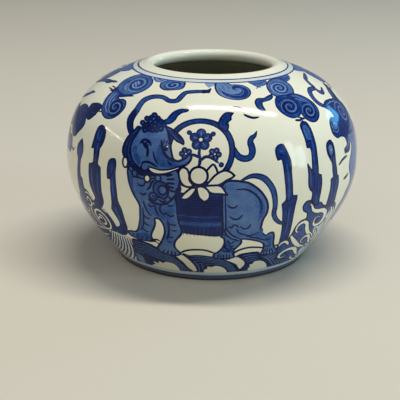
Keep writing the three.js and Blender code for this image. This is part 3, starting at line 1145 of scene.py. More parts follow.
@dataclass(frozen=True)
class Clouds:
    """The coiled clouds under the rim and the dark shapes at the sides."""

    tone: float = 0.5
    line: float = 0.5

    def puff(self, outline: str, *spirals: tuple[float, ...], tone: float | None = None) -> Marks:
        """One cloud: a soft fill, its edge, and for each spiral a broad dark coil with pale lines in it.

        Args:
            outline: the path round it.
            spirals: for each, its x, y, angle at the outer end, turns, radius and width.
            tone: its cobalt, if it isn't the usual.

        Returns:
            The marks, in the order of painting.
        """
        tone = tone or self.tone
        marks = wash(outline, tone, self.line, Tone.DARK)
        for x, y, start, turns, radius, wide in spirals:
            hand = math.copysign(1, turns)
            marks += coil(x, y, start, turns, radius, wide, min(tone + 0.2, 0.88), 0.92)
            marks += coil(x, y, start - 60 * hand, turns * 0.9, radius * 0.92, 0.3, tone - 0.24, 0.92)
            marks += coil(x, y, start - 14 * hand, turns * 0.8, radius * 1.02, 0.22, tone - 0.14, 0.92)
        return marks

    def left(self) -> Marks:
        """The clouds at the upper left."""
        marks = wash(
            "-176,282 -156,293 -148,308 -126,304 -80,294 -42,289 -66,280 -90,272 -120,266 -146,272 -156,280",
            0.78)
        marks += strokes("-190,288 -170,289 -154,285", "-180,299 -162,299 -146,295")
        marks += self.puff(
            "-149,310 -150,330 -143,352 -126,374 -100,392 -71,396 -43,384 -23,364 -18,338 -28,314 -50,296 "
            "-79,285 -107,287 -132,296", (-7.2, 34.2, 250, -2.1, 4.7, 1.0), tone=0.54)
        marks += strokes(
            "-92,336 -76,323", "-86,346 -66,329", "-82,356 -68,344", "-114,330 -110,314 -90,302", width=0.3,
            tone=0.2)
        marks += strokes("-128,306 -134,330 -126,356", "-116,300 -122,330 -114,358", width=0.3, tone=0.66)
        marks += self.puff(
            "-157,266 -155,230 -140,206 -110,192 -80,196 -58,214 -49,240 -58,260 -76,267 -94,264 -106,274 "
            "-110,286 -144,286", (-8.9, 23.4, 175, 1.9, 3.6, 1.3), tone=0.66)
        marks += strokes(
            "-138,280 -142,250 -132,224 -110,208", "-124,280 -130,254 -120,230", "-116,266 -118,248",
            width=0.34, tone=0.28)
        marks += self.puff(
            "10,362 20,348 43,338 71,344 89,352 86,373 70,394 40,396 16,393 6,380",
            (5.2, 36.8, 200, 1.6, 2.5, 1.0), tone=0.56)
        marks += wash("-44,386 -24,376 -10,370 8,376 14,394 -10,396", 0.34)
        marks += strokes("-36,388 -16,378 8,377", "-18,390 0,384 14,383", width=0.34, tone=Tone.DEEP)
        marks += strokes("-250,296 -225,304 -204,314 -175,320", width=1.1, tone=Tone.DARK)
        return marks + wash(
            "-290,336 -250,354 -216,370 -194,386 -200,396 -260,396 -310,386", 0.56, 0.4, Tone.DARK)

    def right(self) -> Marks:
        """The clouds at the upper right."""
        marks = wash("-138,366 -124,374 -104,384 -80,396 -120,397 -140,390", 0.3)
        marks += self.puff(
            "-122,345 -119,328 -104,314 -75,306 -46,311 -26,328 -19,350 -25,369 -43,380 -64,382 -76,396 "
            "-100,396 -114,376", tone=0.42)
        marks += stroke(
            "-106,346,7 -98,329,16 -72,321,21 -47,327,22 -34,347,21 -40,365,18 -56,369,15 -66,359,11 "
            "-59,349,7", tone=0.76, ends=(0.7, 0.5))
        marks += strokes(
            "-96,342 -82,328 -60,325 -43,338 -40,354", "-88,354 -80,339 -62,334", width=0.26, tone=Tone.SOFT)
        marks += strokes(
            "-83,388 -77,370 -81,352", "-97,388 -93,368 -97,348", "-110,374 -107,360 -110,346", width=0.3,
            tone=0.56)
        marks += wash("-4,395 4,374 12,362 28,362 48,369 58,384 56,396", 0.5, 0.3, Tone.DEEP)
        marks += strokes("6,352 14,359 24,353", "6,382 22,376 44,382", width=0.4, tone=Tone.DEEP)
        marks += wash("102,396 108,374 128,363 152,366 170,376 174,388 160,395", 0.6, 0.3, Tone.DEEP)
        marks += strokes("120,386 140,376 164,382", width=0.4, tone=Tone.DARK)
        marks += self.puff(
            "42,326 46,358 66,382 94,390 122,376 137,348 133,316 114,296 76,296 52,308",
            (8.7, 34, 195, -2.2, 3.8, 0.9), tone=0.53)
        marks += self.puff(
            "90,300 115,305 140,297 168,276 190,249 197,224 188,204 164,192 138,199 120,218 117,238 "
            "124,254 120,266 106,278", (15.4, 23, 120, -1.8, 3.3, 1.3), tone=0.7)
        marks += strokes(
            "104,297 128,292 154,272 176,248", "114,286 134,276 156,264", width=0.34, tone=Tone.SOFT)
        marks += self.puff(
            "54,302 42,286 37,264 43,246 59,228 82,218 106,222 119,236 124,256 120,278 106,296 80,306",
            (8.4, 25.8, 150, -1.9, 3.7, 1.3), tone=0.68)
        return marks + strokes("84,209 96,209 106,202", "98,217 108,214 119,206", width=0.6)

    def side_right(self) -> Marks:
        """The dark leaping shape at the right, with its ribbon."""
        beast = (
            "-106,140 -98,170 -76,187 -54,184 -52,205 -68,226 -40,241 0,240 34,236 60,258 90,286 106,282 "
            "92,250 78,224 98,184 102,140 74,116 30,110 -4,114 -6,80 -20,66 -58,65! -60,77 -34,88 -38,112 "
            "-64,122 -88,122"
        )
        rock = (
            "4,116 34,128 70,116 86,134 114,128 126,96 154,90 174,56 166,26 196,6 210,-36 200,-70 224,-100 "
            "228,-150 210,-190! 120,-200 40,-196 -46,-170! -50,-116 -34,-90 -26,-66 -8,-46 -14,-16 -28,12 "
            "-20,38 -4,56 8,76 0,96"
        )
        marks = strokes(
            "168,60 186,80 210,86", "172,56 198,64 220,56", "164,66 170,92 186,112",
            "206,-30 224,-14 244,-12", width=0.7)
        marks += wash(rock, 0.5, 0.6)
        marks += washes(
            "90,124 124,94 152,86 168,54 160,24 188,2 202,-38 192,-72 216,-104 218,-150 180,-170 170,-100 "
            "144,-40 130,20 100,70",
            "14,104 34,80 30,34 12,0 34,-44 24,-94 -10,-146 16,-168 54,-120 60,-56 46,-4 58,44 50,96",
            tone=0.62)
        marks += strokes(
            "66,114 74,76 66,34 74,6", "124,94 112,64 126,32 118,2", "164,24 146,0 154,-44",
            "198,-70 172,-86 176,-124", "40,-24 60,-56 52,-100 76,-140", "94,-48 86,-94 104,-146", width=0.6,
            tone=Tone.DARK)
        marks += fan("136,68 154,62", "130,26 148,20", 4, 0.4, 0.8)
        marks += fan("166,-14 186,-22", "164,-56 182,-64", 4, 0.4, 0.8)
        marks += fan("26,-66 42,-74", "14,-110 30,-118", 4, 0.4, 0.76)
        marks += fan("180,-106 200,-112", "180,-140 200,-146", 3, 0.4, 0.8)
        marks += wash("80,24 98,38 110,14 102,-18 82,-14", Tone.BARE, 0.55)
        marks += wash("118,-92 140,-78 150,-108 132,-134 114,-120", Tone.BARE, 0.55)
        marks += wash(beast, 0.8, 0.4)
        marks += coil(-7.5, 15.6, 200, 1.5, 2.0, 0.46, Tone.SOFT)
        marks += coil(2.8, 18.4, 150, -2.0, 4.3, 0.6, Tone.SOFT, 0.95)
        marks += coil(7, 24.6, 20, 1.2, 1.7, 0.42, Tone.SOFT)
        marks += strokes(
            "-9,106 -20,86 -46,75", "-40,230 -10,232 26,228 54,242", "-96,144 -90,170", width=0.4,
            tone=Tone.SOFT)
        marks += fan("92,136 60,126 24,124", "92,180 84,160 76,146", 4, 0.4, Tone.SOFT)
        marks += strokes("-105,40 -80,50 -45,55", width=0.9) + strokes("-70,-15 -50,-11 -35,-5", width=1.1)
        return marks + strokes(
            "32,226 46,252 72,270 112,288", "52,214 72,242 112,262", "58,236 78,258 112,274", width=0.9)

    def ribbon_right(self) -> Marks:
        """The ribbon above the leaping shape."""
        ribbons = Ribbons()
        marks = ribbons.ribbon(
            "110,230,16 94,242,20 85,262,22 90,286,22 107,300,20 140,300,19 142,324,20 150,340,19 "
            "175,348,19 204,356,12")
        return marks + ribbons.ribbon("138,300,16 148,278,18 166,271,18 190,285,12")

    def side_left(self) -> Marks:
        """The dark shape at the left, with its wisps."""
        shape = (
            "-260,130 -254,166 -226,186 -200,179 -170,194 -140,201 -105,196 -85,166 -78,145 -100,120 "
            "-135,95 -170,102 -200,120 -230,108"
        )
        marks = wash(shape, Tone.DARK, 0.4)
        marks += fan(
            "-240,150 -200,142 -150,156 -110,150", "-220,126 -186,118 -150,118 -116,128", 4, 0.34, Tone.DEEP)
        marks += coil(-12, 16.6, 40, 1.3, 2.3, 0.36, Tone.DEEP)
        marks += wash("-104,210 -80,222 -50,226 -30,220 -34,202 -48,178 -68,166 -94,176", 0.9, 0.4)
        marks += strokes("-80,204 -60,190 -46,196", width=0.3, tone=Tone.DEEP)
        marks += strokes("-44,216 -30,216 -18,222", "-40,206 -28,204 -14,206", "-44,194 -34,188")
        marks += stroke(
            "-280,256,9 -240,270,14 -200,286,12 -160,300,16 -120,309,16 -80,320,8", core=Tone.DEEP)
        return marks + stroke("-280,196,9 -240,209,15 -200,226,15 -175,240,18 -145,249,8", core=Tone.DEEP)

    def between(self) -> Marks:
        """The clouds at the side, where the two panels meet."""
        marks = self.puff(
            "-34,306 -30,338 -10,360 16,364 41,348 48,316 36,290 13,278 -12,282 -30,292",
            (0.8, 32, 200, -1.6, 3.2, 0.8), tone=0.56)
        marks += self.puff(
            "76,54 74,82 90,102 114,104 130,90 152,94 170,80 170,54 150,38 126,42 106,32 86,38",
            (10.3, 6.9, 150, -1.6, 2.8, 0.9), (14.8, 6.5, 20, 1.5, 2.1, 0.7), tone=0.6)
        return marks + strokes(
            "78,46 64,22 74,-6 64,-30", "170,66 190,56 204,66", "106,32 114,16 108,2", width=0.8)


@dataclass(frozen=True)
class Panel:
    """One of the two painted panels, each half way round the pot."""

    turn: float
    sway: float = 0.0

    def side(self, painting: Painting) -> None:
        """Paints what fills the side at the panel's right."""
        clouds = Clouds()
        self.lay(painting, (68, clouds.side_right()), (90, Waves().between() + clouds.between()))

    def front(self, painting: Painting) -> None:
        """Paints the panel itself, the elephant last.

        Args:
            painting: what it is laid on.
        """
        posts, waves, clouds, ribbons, roundel = Posts(), Waves(), Clouds(), Ribbons(), Roundel()
        self.lay(
            painting,
            (43, posts.right()),
            (-52, waves.left() + posts.left()),
            (43, clouds.ribbon_right()),
            (-52, clouds.side_left()),
            (-35, clouds.left()),
            (25, clouds.right()),
            (-5, Ground().marks() + ribbons.back() + roundel.ring() + roundel.blossom()),
            (43, waves.right()),
            (-5, Elephant().marks() + ribbons.over() + roundel.lotus()),
        )

    def lay(self, painting: Painting, *charts: tuple[float, Marks]) -> None:
        """Lays charts in the given order.

        Args:
            painting: what they are laid on.
            charts: for each, the angle of its middle from the panel's own, and its marks.
        """
        for centre, marks in charts:
            painting.lay(marks, centre + self.turn, self.sway)


# Meshes


def put(name: str, data: object) -> Object:
    """Makes an object of a mesh, a lamp or a camera, and puts it into the scene.

    Args:
        name: its name.
        data: the mesh, lamp or camera.

    Returns:
        The object.
    """
    made = bpy.data.objects.new(name, data)
    bpy.context.scene.collection.objects.link(made)
    return made


def on_sheet(share: Array) -> Array:
    """The place across the baking sheet for a share of its width, within the margins."""
    return SHEET_MARGIN + (1 - 2 * SHEET_MARGIN) * share


@dataclass
class Shell:
    """Gathers the corners of a closed skin's faces, in millimetres, and makes one mesh of them.

    Corners that round to the same of the steps in a millimetre are one point.
    """

    form: PotForm
    steps: int = 10_000
    places: list[Array] = field(default_factory=list)
    outwards: list[Array] = field(default_factory=list)
    sheet: list[Array] = field(default_factory=list)
    sizes: list[Array] = field(default_factory=list)
    cobalt: list[Array] = field(default_factory=list)
    # painted shade of each face, darkening the inside of the pot
    inside_shade: list[Array] = field(default_factory=list)

    def add(self, places: Array, outwards: Array, sheet: Array,
            cobalt: Array | float = 0.0, inside_shade: float = 0.0) -> None:
        """Adds faces of one size.

        Args:
            places: faces by corners by 3.
            outwards: the surface's direction at each corner, in the same shape.
            sheet: faces by corners by 2, the place on the flat sheet that a finish is baked on.
            cobalt: the cobalt of each face.
            inside_shade: how much painted shade darkens the faces, inside the pot.
        """
        count, corners = places.shape[:2]
        self.places.append(places.reshape(-1, 3))
        self.outwards.append(outwards.reshape(-1, 3))
        self.sheet.append(sheet.reshape(-1, 2))
        self.sizes.append(np.full(count, corners))
        self.cobalt.append(np.broadcast_to(cobalt, count))
        self.inside_shade.append(np.full(count, inside_shade))

    def spin(self, profile: Array, band: Pair, smooth: bool = True, inside_shade: Pair = (0.0, 0.0)) -> None:
        """Adds the surface that a profile sweeps round the axis, on the same spokes as the painted skin.

        Args:
            profile: radius and level of each point, with the surface on the right of its way.
            band: the lowest and highest place of the surface on the baking sheet.
            smooth: whether the profile is one curve, and not straight runs with corners.
            inside_shade: how much painted shade darkens the surface, and how far along the profile it begins.
        """
        sides = self.form.sides
        turn = np.radians(-90) + np.linspace(0, TURN, sides + 1)
        turn[-1] = turn[0]
        sheet_turn = np.linspace(SHEET_MARGIN, 1 - SHEET_MARGIN, sides + 1)
        far = lengths(profile)
        sheet_up = band[0] + (band[1] - band[0]) * far / far[-1]
        step = np.gradient(profile, far, axis=0)
        ring = np.stack([np.sin(turn), -np.cos(turn)], -1)
        for j in range(len(profile) - 1):
            rims, norms, flat = [], [], []
            for k in (j, j + 1):
                slope = step[k] if smooth else profile[j + 1] - profile[j]
                slope = slope / np.linalg.norm(slope)
                rims.append(np.column_stack([ring * profile[k][0], np.full(sides + 1, profile[k][1])]))
                norms.append(np.column_stack([ring * slope[1], np.full(sides + 1, -slope[0])]))
                flat.append(np.column_stack([sheet_turn, np.full(sides + 1, sheet_up[k])]))
            quads = [np.stack([a[0][:-1], a[0][1:], a[1][1:], a[1][:-1]], 1) for a in (rims, norms, flat)]
            # the painted shade comes up to full over shade_reach past its start
            share = min(1.0, max(0.0, (far[j] - inside_shade[1]) / self.form.shade_reach)) if inside_shade[1] else 1.0
            self.add(*quads, inside_shade=inside_shade[0] * share)

    def zip(self, first: Array, second: Array, ends: tuple[Pair, Pair], band: Pair) -> None:
        """Adds the flat ring between two circles whose points don't match.

        Args:
            first: the angles of the first circle's points, rising through one whole turn.
            second: the same of the second.
            ends: the radius and level of the first circle and of the second.
            band: the place of the ring on the baking sheet.
        """
        i = j = 0
        faces = []
        while i < len(first) - 1 or j < len(second) - 1:
            if j == len(second) - 1 or (i < len(first) - 1 and first[i + 1] <= second[j + 1]):
                faces.append(((0, first[i]), (0, first[i + 1]), (1, second[j])))
                i += 1
            else:
                faces.append(((0, first[i]), (1, second[j + 1]), (1, second[j])))
                j += 1
        which, turn = np.array(faces).transpose(2, 0, 1)
        which = which.astype(int)
        radius, level = np.array(ends)[which].transpose(2, 0, 1)
        places = np.stack([radius * np.sin(turn), -radius * np.cos(turn), level], -1)
        sheet = np.stack([on_sheet((turn - first[0]) / TURN), np.array(band)[which]], -1)
        up = 1.0 if ends[1][0] < ends[0][0] else -1.0
        self.add(places, np.broadcast_to([0, 0, up], places.shape), sheet)

    def mesh(self, name: str) -> Object:
        """Welds the corners and makes the object.

        Args:
            name: the object's name.

        Returns:
            The object, in metres.
        """
        places, outwards, sheet = (np.concatenate(part) for part in (self.places, self.outwards, self.sheet))
        sizes = np.concatenate(self.sizes)
        keys = np.round(places * self.steps).astype(np.int64)
        _, first, which = np.unique(keys, axis=0, return_index=True, return_inverse=True)
        which = which.reshape(-1)
        starts = np.r_[0, np.cumsum(sizes)[:-1]]
        faces, corners, kept = [], [], []
        for number, (start, size) in enumerate(zip(starts.tolist(), sizes.tolist())):
            ring = which[start: start + size].tolist()
            use = [k for k in range(size) if ring[k] != ring[k - 1]]
            if len(use) >= 3:
                faces.append([ring[k] for k in use])
                corners += [start + k for k in use]
                kept.append(number)
        mesh = bpy.data.meshes.new(name)
        mesh.from_pydata((places[first] * MM).tolist(), [], faces)
        mesh.polygons.foreach_set("use_smooth", np.ones(len(faces), bool))
        layer = mesh.uv_layers.new(name="OFBake")
        layer.data.foreach_set("uv", sheet[corners].astype(np.float32).ravel())
        # each face's cobalt, and the painted shade inside the pot
        for label, values in (("cobalt", self.cobalt), ("inside_shade", self.inside_shade)):
            amounts = mesh.attributes.new(label, "FLOAT", "FACE")
            amounts.data.foreach_set("value", np.concatenate(values)[kept].astype(np.float32))
        mesh.normals_split_custom_set(outwards[corners].tolist())
        mesh.validate()
        return put(name, mesh)


@dataclass
class GlazedBody:
    """The glazed part of the pot, which is the upper bowl, the joint of slip and the lower bowl, painted.

    Points of the skin that lie nearer than snap to an edge are moved onto it.
    """

    form: PotForm
    painting: Painting
    snap: float = 0.003

    def __post_init__(self) -> None:
        """Cuts the painted skin once for all the pieces."""
        form = self.form
        self.flat, self.faces, self.tone = self.painting.cut()
        start, lap = self.painting.start, form.lap
        self.half = form.slip / 2
        spokes = start + np.linspace(0, lap, form.sides + 1)
        for edge in (start, start + lap):
            self.flat[np.abs(self.flat[:, 0] - edge) < self.snap, 0] = edge
        left, right = (np.flatnonzero(self.flat[:, 0] == edge) for edge in (start, start + lap))
        left, right = (side[np.argsort(self.flat[side, 1])] for side in (left, right))
        if len(left) == len(right):
            self.flat[right, 1] = self.flat[left, 1]
        for edge in (form.foot_line, -self.half, self.half, self.painting.top):
            on = np.flatnonzero(np.abs(self.flat[:, 1] - edge) < self.snap)
            self.flat[on, 1] = edge
            near = spokes[np.argmin(np.abs(self.flat[on, 0][:, None] - spokes), axis=1)]
            self.flat[on, 0] = np.where(np.abs(self.flat[on, 0] - near) < self.snap, near, self.flat[on, 0])
            on = on[np.argsort(self.flat[on, 0])]
            for a, b in zip(on, on[1:]):
                if self.flat[b, 0] - self.flat[a, 0] < self.snap:
                    self.flat[b, 0] = self.flat[a, 0]
        level = self.flat[self.faces][:, :, 1]
        use = level.max(1) - level.min(1) > TINY
        self.faces, self.tone, self.level = self.faces[use], self.tone[use], level[use].mean(1)
        self.places, self.outwards = form.skin(self.flat)

    def paint_skin(self, shell: Shell, low: float, high: float, front: Pair, rear: Pair) -> None:
        """Adds the painted skin between two heights up the wall.

        Args:
            shell: what it is added to.
            low: the lower height.
            high: the upper height.
            front: the lowest and highest place of the first half round on the baking sheet.
            rear: the same of the other half.
        """
        use = (self.level > low) & (self.level < high)
        faces, tone = self.faces[use], self.tone[use]
        around = (self.flat[faces][:, :, 0] - self.painting.start) / (self.form.lap / 2)
        back = around.mean(1) > 1
        up = (self.flat[faces][:, :, 1] - low) / (high - low)
        bottom, top = (np.where(back, rear[k], front[k])[:, None] for k in (0, 1))
        sheet = np.stack([on_sheet(around - back[:, None]), bottom + (top - bottom) * up], -1)
        shell.add(self.places[faces], self.outwards[faces], sheet, tone)

    def rim_angles(self, level: float) -> Array:
        """The angles of the skin's points along one of its level edges, rising through a whole turn."""
        return np.unique(self.flat[self.flat[:, 1] == level, 0]) / self.form.belly_radius

    @property
    def spokes(self) -> Array:
        """The angles of the unpainted surfaces' points."""
        around = np.linspace(0, self.form.lap, self.form.sides + 1)
        return (self.painting.start + around) / self.form.belly_radius

    def upper_bowl(self) -> Object:
        """The shoulder, the lip and the upper part of the inside."""
        form, shell = self.form, Shell(self.form)
        top = self.painting.top
        self.paint_skin(shell, self.half, top, front=(0.58, 0.995), rear=(0.155, 0.57))
        crest = form.up > top
        start = np.array([[form.radius_at(top), np.interp(top, form.up, form.wall_line[:, 1])]])
        mouth = np.concatenate([start, form.wall_line[crest][::6], form.wall_line[-1:], form.lip[1:]])
        over = np.concatenate([mouth, form.upper_inside()[1:]])
        # painted shade darkens the inside from unshaded_reach below the lip downwards
        shade_start = lengths(mouth)[-1] + form.unshaded_reach
        shell.spin(over, (0.02, 0.145), inside_shade=(0.9, shade_start))
        joint = form.belly_height + self.half
        ends = (form.inner_radius, joint), (form.belly_radius, joint)
        shell.zip(self.spokes, self.rim_angles(self.half), ends, (0.0, 0.01))
        return shell.mesh("upper_bowl_glazed")

    def slip_joint(self) -> Object:
        """The thin ring of slip between the bowls, which the painting crosses."""
        form, shell = self.form, Shell(self.form)
        self.paint_skin(shell, -self.half, self.half, front=(0.7, 0.98), rear=(0.38, 0.66))
        inner, outer = form.inner_radius, form.belly_radius
        low, high = form.belly_height - self.half, form.belly_height + self.half
        shell.spin(np.array([[inner, high], [inner, low]]), (0.1, 0.3), smooth=False)
        shell.zip(self.rim_angles(self.half), self.spokes, ((outer, high), (inner, high)), (0.35, 0.32))
        shell.zip(self.spokes, self.rim_angles(-self.half), ((inner, low), (outer, low)), (0.05, 0.08))
        return shell.mesh("slip_joint_glazed")

    def lower_bowl(self) -> Object:
        """The lower wall, the floor and the glazed base inside the foot."""
        form, shell = self.form, Shell(self.form)
        self.paint_skin(shell, form.foot_line, -self.half, front=(0.6, 0.995), rear=(0.195, 0.59))
        joint = form.belly_height - self.half
        ends = (form.belly_radius, joint), (form.inner_radius, joint)
        shell.zip(self.rim_angles(-self.half), self.spokes, ends, (0.185, 0.18))
        # painted shade darkens the whole inside of the lower bowl
        shell.spin(form.lower_inside(), (0.175, 0.09), inside_shade=(1.0, 0.0))
        base = form.base()
        shell.spin(base[:-2], (0.01, 0.06))
        shell.spin(base[-3:], (0.065, 0.08), smooth=False)
        return shell.mesh("lower_bowl_glazed")


# Finishes


class Nodes:
    """Short ways of adding and joining shader nodes in one tree."""

    def __init__(self, tree: NodeTree) -> None:
        """Takes the tree to work on.

        Args:
            tree: a material's or a group's node tree.
        """
        self.tree = tree

    def add(self, kind: str, **values: object) -> Node:
        """Adds a node and sets its properties, or its sockets where a name is one.

        Args:
            kind: the node's type, without the ShaderNode before it.
            values: what to set. A socket's value goes in as itself and a link as the output socket.

        Returns:
            The node.
        """
        node = self.tree.nodes.new("ShaderNode" + kind if not kind.startswith("Node") else kind)
        for name, value in values.items():
            if hasattr(node, name):
                setattr(node, name, value)
                continue
            index = int(name[1:]) if name[0] == "i" and name[1:].isdigit() else name.replace("_", " ")
            self.feed(node.inputs[index], value)
        return node

    def feed(self, socket: NodeSocket, value: object) -> None:
        """Sets a socket's value, or links another node's output to it.

        Args:
            socket: the input socket.
            value: its value, or the output socket to link.
        """
        if isinstance(value, NodeSocket):
            self.tree.links.new(value, socket)
        else:
            socket.default_value = value

    def math(self, operation: str, *values: object, clamp: bool = False) -> NodeSocket:
        """Adds a Math node.

        Args:
            operation: its operation.
            values: its inputs, as numbers or output sockets.
            clamp: whether the result is kept between 0 and 1.

        Returns:
            Its output.
        """
        node = self.tree.nodes.new("ShaderNodeMath")
        node.operation, node.use_clamp = operation, clamp
        for socket, value in zip(node.inputs, values):
            self.feed(socket, value)
        return node.outputs[0]

    def blend(self, share: object, first: object, second: object) -> NodeSocket:
        """Mixes two colours.

        Args:
            share: how much of the second shows.
            first: the first colour.
            second: the second colour.

        Returns:
            The mixed colour.
        """
        return self.add("Mix", data_type="RGBA", i0=share, i6=first, i7=second).outputs[2]

    def noise(self, where: object, scale: float, detail: float = 2.0,
              roughness: float = 0.5) -> NodeSocket:
        """Adds a Noise texture and returns its value."""
        node = self.add("TexNoise", Vector=where, Scale=scale, Detail=detail, Roughness=roughness)
        return node.outputs["Fac"]

    def span(self, value: object, low: float, high: float, to_low: float = 0.0,
             to_high: float = 1.0) -> NodeSocket:
        """Stretches a range of values onto another, and keeps within it."""
        return self.add("MapRange", i0=value, i1=low, i2=high, i3=to_low, i4=to_high).outputs[0]

    def ramp(self, value: object, stops: tuple[tuple[float, Colour], ...]) -> NodeSocket:
        """Adds a colour ramp.

        Args:
            value: what drives it.
            stops: each stop's place and colour, as a screen shows it.

        Returns:
            Its colour.
        """
        node = self.add("ValToRGB", Fac=value)
        band = node.color_ramp.elements
        while len(band) < len(stops):
            band.new(0.5)
        for element, (place, colour) in zip(band, stops):
            element.position, element.color = place, linear(*colour)
        return node.outputs["Color"]

    def relief(self, height: object, strength: float, distance: float) -> None:
        """Gives the material's shader a fine relief.

        Args:
            height: the height, 0 to 1.
            strength: how much of it shows.
            distance: what a height of 1 stands for, in metres.
        """
        bump = self.add("Bump", Strength=strength, Distance=distance, Height=height)
        self.feed(self.tree.nodes["Principled BSDF"].inputs["Normal"], bump.outputs[0])


def linear(red: float, green: float, blue: float) -> tuple[float, float, float, float]:
    """Turns a colour as a screen shows it, 0 to 255, into the light it stands for."""
    shares = (red / 255, green / 255, blue / 255)
    return (*(((s + 0.055) / 1.055) ** 2.4 if s > 0.04 else s / 12.92 for s in shares), 1.0)


def group(name: str, inputs: dict[str, float],
          outputs: dict[str, str]) -> tuple[Nodes, Node, Node]:
    """Makes an empty shader node group.

    Args:
        name: its name.
        inputs: each number that it takes, with the usual value.
        outputs: each output, as a Float or a Color.

    Returns:
        What adds nodes to the group, the node that its inputs come from and the one that its outputs go to.
    """
    tree = bpy.data.node_groups.new(name, "ShaderNodeTree")
    for label, value in inputs.items():
        socket = tree.interface.new_socket(label, in_out="INPUT", socket_type="NodeSocketFloat")
        socket.default_value = value
    for label, kind in outputs.items():
        tree.interface.new_socket(label, in_out="OUTPUT", socket_type="NodeSocket" + kind)
    nodes = Nodes(tree)
    return nodes, nodes.add("NodeGroupInput"), nodes.add("NodeGroupOutput")


def finish(name: str) -> tuple[Material, Nodes, Node]:
    """Makes an empty material.

    Args:
        name: its name.

    Returns:
        The material, what adds nodes to it, and its shader.
    """
    material = bpy.data.materials.new(name)
    material.use_nodes = True
    return material, Nodes(material.node_tree), material.node_tree.nodes["Principled BSDF"]


@dataclass(frozen=True)
class SharedEffects:
    """The node groups that more than one finish uses."""

    def grain(self) -> NodeTree:
        """A mottle of two sizes, for colour and roughness, and a height for a Bump node."""
        n, given, out = group("fine_mottle", {"Broad": 90.0, "Fine": 900.0},
                              {"Mottle": "Float", "Speckle": "Float", "Height": "Float"})
        where = n.add("TexCoord").outputs["Object"]
        broad = n.noise(where, given.outputs["Broad"], 3.0, 0.55)
        fine = n.noise(where, given.outputs["Fine"], 2.0, 0.6)
        mottle = n.math("ADD", n.math("MULTIPLY", broad, 0.7), n.math("MULTIPLY", fine, 0.3))
        n.feed(out.inputs["Mottle"], n.span(mottle, 0.3, 0.7))
        n.feed(out.inputs["Speckle"], n.span(fine, 0.62, 0.78))
        height = n.math("ADD", n.math("MULTIPLY", broad, 0.6), n.math("MULTIPLY", fine, 0.4))
        n.feed(out.inputs["Height"], height)
        return n.tree


@dataclass(frozen=True)
class Glaze:
    """Clear glaze over white porcelain, with cobalt under it where the painting says so."""

    warm: Colour = (240, 235, 210)
    cool: Colour = (233, 237, 220)
    speck: Colour = (128, 92, 60)
    # the colour that painted shade inside the pot darkens the glaze towards
    inside_shade_colour: Colour = (138, 138, 118)
    depths: tuple[tuple[float, Colour], ...] = (
        (0.0, (236, 235, 214)), (0.14, (180, 201, 217)), (0.32, (126, 153, 193)), (0.45, (90, 121, 166)),
        (0.56, (52, 93, 160)), (0.72, (12, 53, 123)), (0.86, (2, 32, 97)), (1.0, (1, 13, 66)))
    roughness: float = 0.085
    refraction: float = 1.5
    shine: float = 0.25
    ripple: float = 0.12

    def cobalt(self) -> NodeTree:
        """The colour of cobalt of a given depth, uneven as brushed and fired pigment is."""
        n, given, out = group("fired_cobalt", {"Cobalt": 0.0, "Unevenness": 1.0},
                              {"Color": "Color", "Cover": "Float"})
        where = n.add("TexCoord").outputs["Object"]
        cloud = n.span(n.noise(where, 260, 4.0, 0.6), 0.3, 0.7, -1, 1)
        brush = n.add("Mapping", Vector=where, Scale=(1, 1, 2.4)).outputs[0]
        streak = n.span(n.noise(brush, 1100, 2.0, 0.5), 0.3, 0.7, -1, 1)
        heap = n.span(n.noise(where, 2300, 1.0, 0.5), 0.63, 0.72, 0, 1)
        amount = given.outputs["Cobalt"]
        stray = n.math("ADD", n.math("MULTIPLY", cloud, 0.1), n.math("MULTIPLY", streak, 0.07))
        stray = n.math("MULTIPLY", stray, given.outputs["Unevenness"])
        depth = n.math("MULTIPLY", amount, n.math("ADD", stray, 1.0))
        pooled = n.math("MULTIPLY", n.math("MULTIPLY", heap, 0.16), n.span(amount, 0.4, 0.8))
        depth = n.math("ADD", depth, pooled, clamp=True)
        n.feed(out.inputs["Color"], n.ramp(depth, self.depths))
        n.feed(out.inputs["Cover"], n.span(amount, 0.0, 0.1))
        return n.tree

    def material(self, groups: dict[str, NodeTree]) -> Material:
        """Makes the material.

        Args:
            groups: the node groups made so far, by name.

        Returns:
            The material, for the painted and the plain glaze alike.
        """
        material, n, shader = finish("painted_glaze")
        mottle = n.add("Group", node_tree=groups["mottle"], Broad=55.0, Fine=620.0)
        paint = n.add("Group", node_tree=groups["cobalt"])
        n.feed(paint.inputs["Cobalt"], n.add("Attribute", attribute_name="cobalt").outputs["Fac"])
        where = n.add("TexCoord").outputs["Object"]
        body = n.blend(mottle.outputs["Mottle"], linear(*self.warm), linear(*self.cool))
        cells = n.add("TexVoronoi", Vector=where, Scale=120.0)
        rare = n.math("GREATER_THAN", n.add("SeparateColor", i0=cells.outputs["Color"]).outputs[0], 0.93)
        dot = n.math("LESS_THAN", cells.outputs["Distance"], n.math("MULTIPLY", n.noise(where, 2000), 0.05))
        body = n.blend(n.math("MULTIPLY", rare, dot), body, linear(*self.speck))
        # painted shade inside the pot, a little uneven with the mottle
        inside_shade = n.add("Attribute", attribute_name="inside_shade").outputs["Fac"]
        inside_shade = n.math("MULTIPLY", inside_shade, n.span(mottle.outputs["Mottle"], 0, 1, 0.85, 1))
        body = n.blend(inside_shade, body, linear(*self.inside_shade_colour))
        n.feed(shader.inputs["Base Color"], n.blend(paint.outputs["Cover"], body, paint.outputs["Color"]))
        rough = n.span(mottle.outputs["Mottle"], 0, 1, self.roughness - 0.02, self.roughness + 0.03)
        n.feed(shader.inputs["Roughness"], rough)
        shader.inputs["IOR"].default_value = self.refraction
        shader.inputs["Specular IOR Level"].default_value = self.shine
        n.relief(mottle.outputs["Height"], self.ripple, 0.0004)
        return material


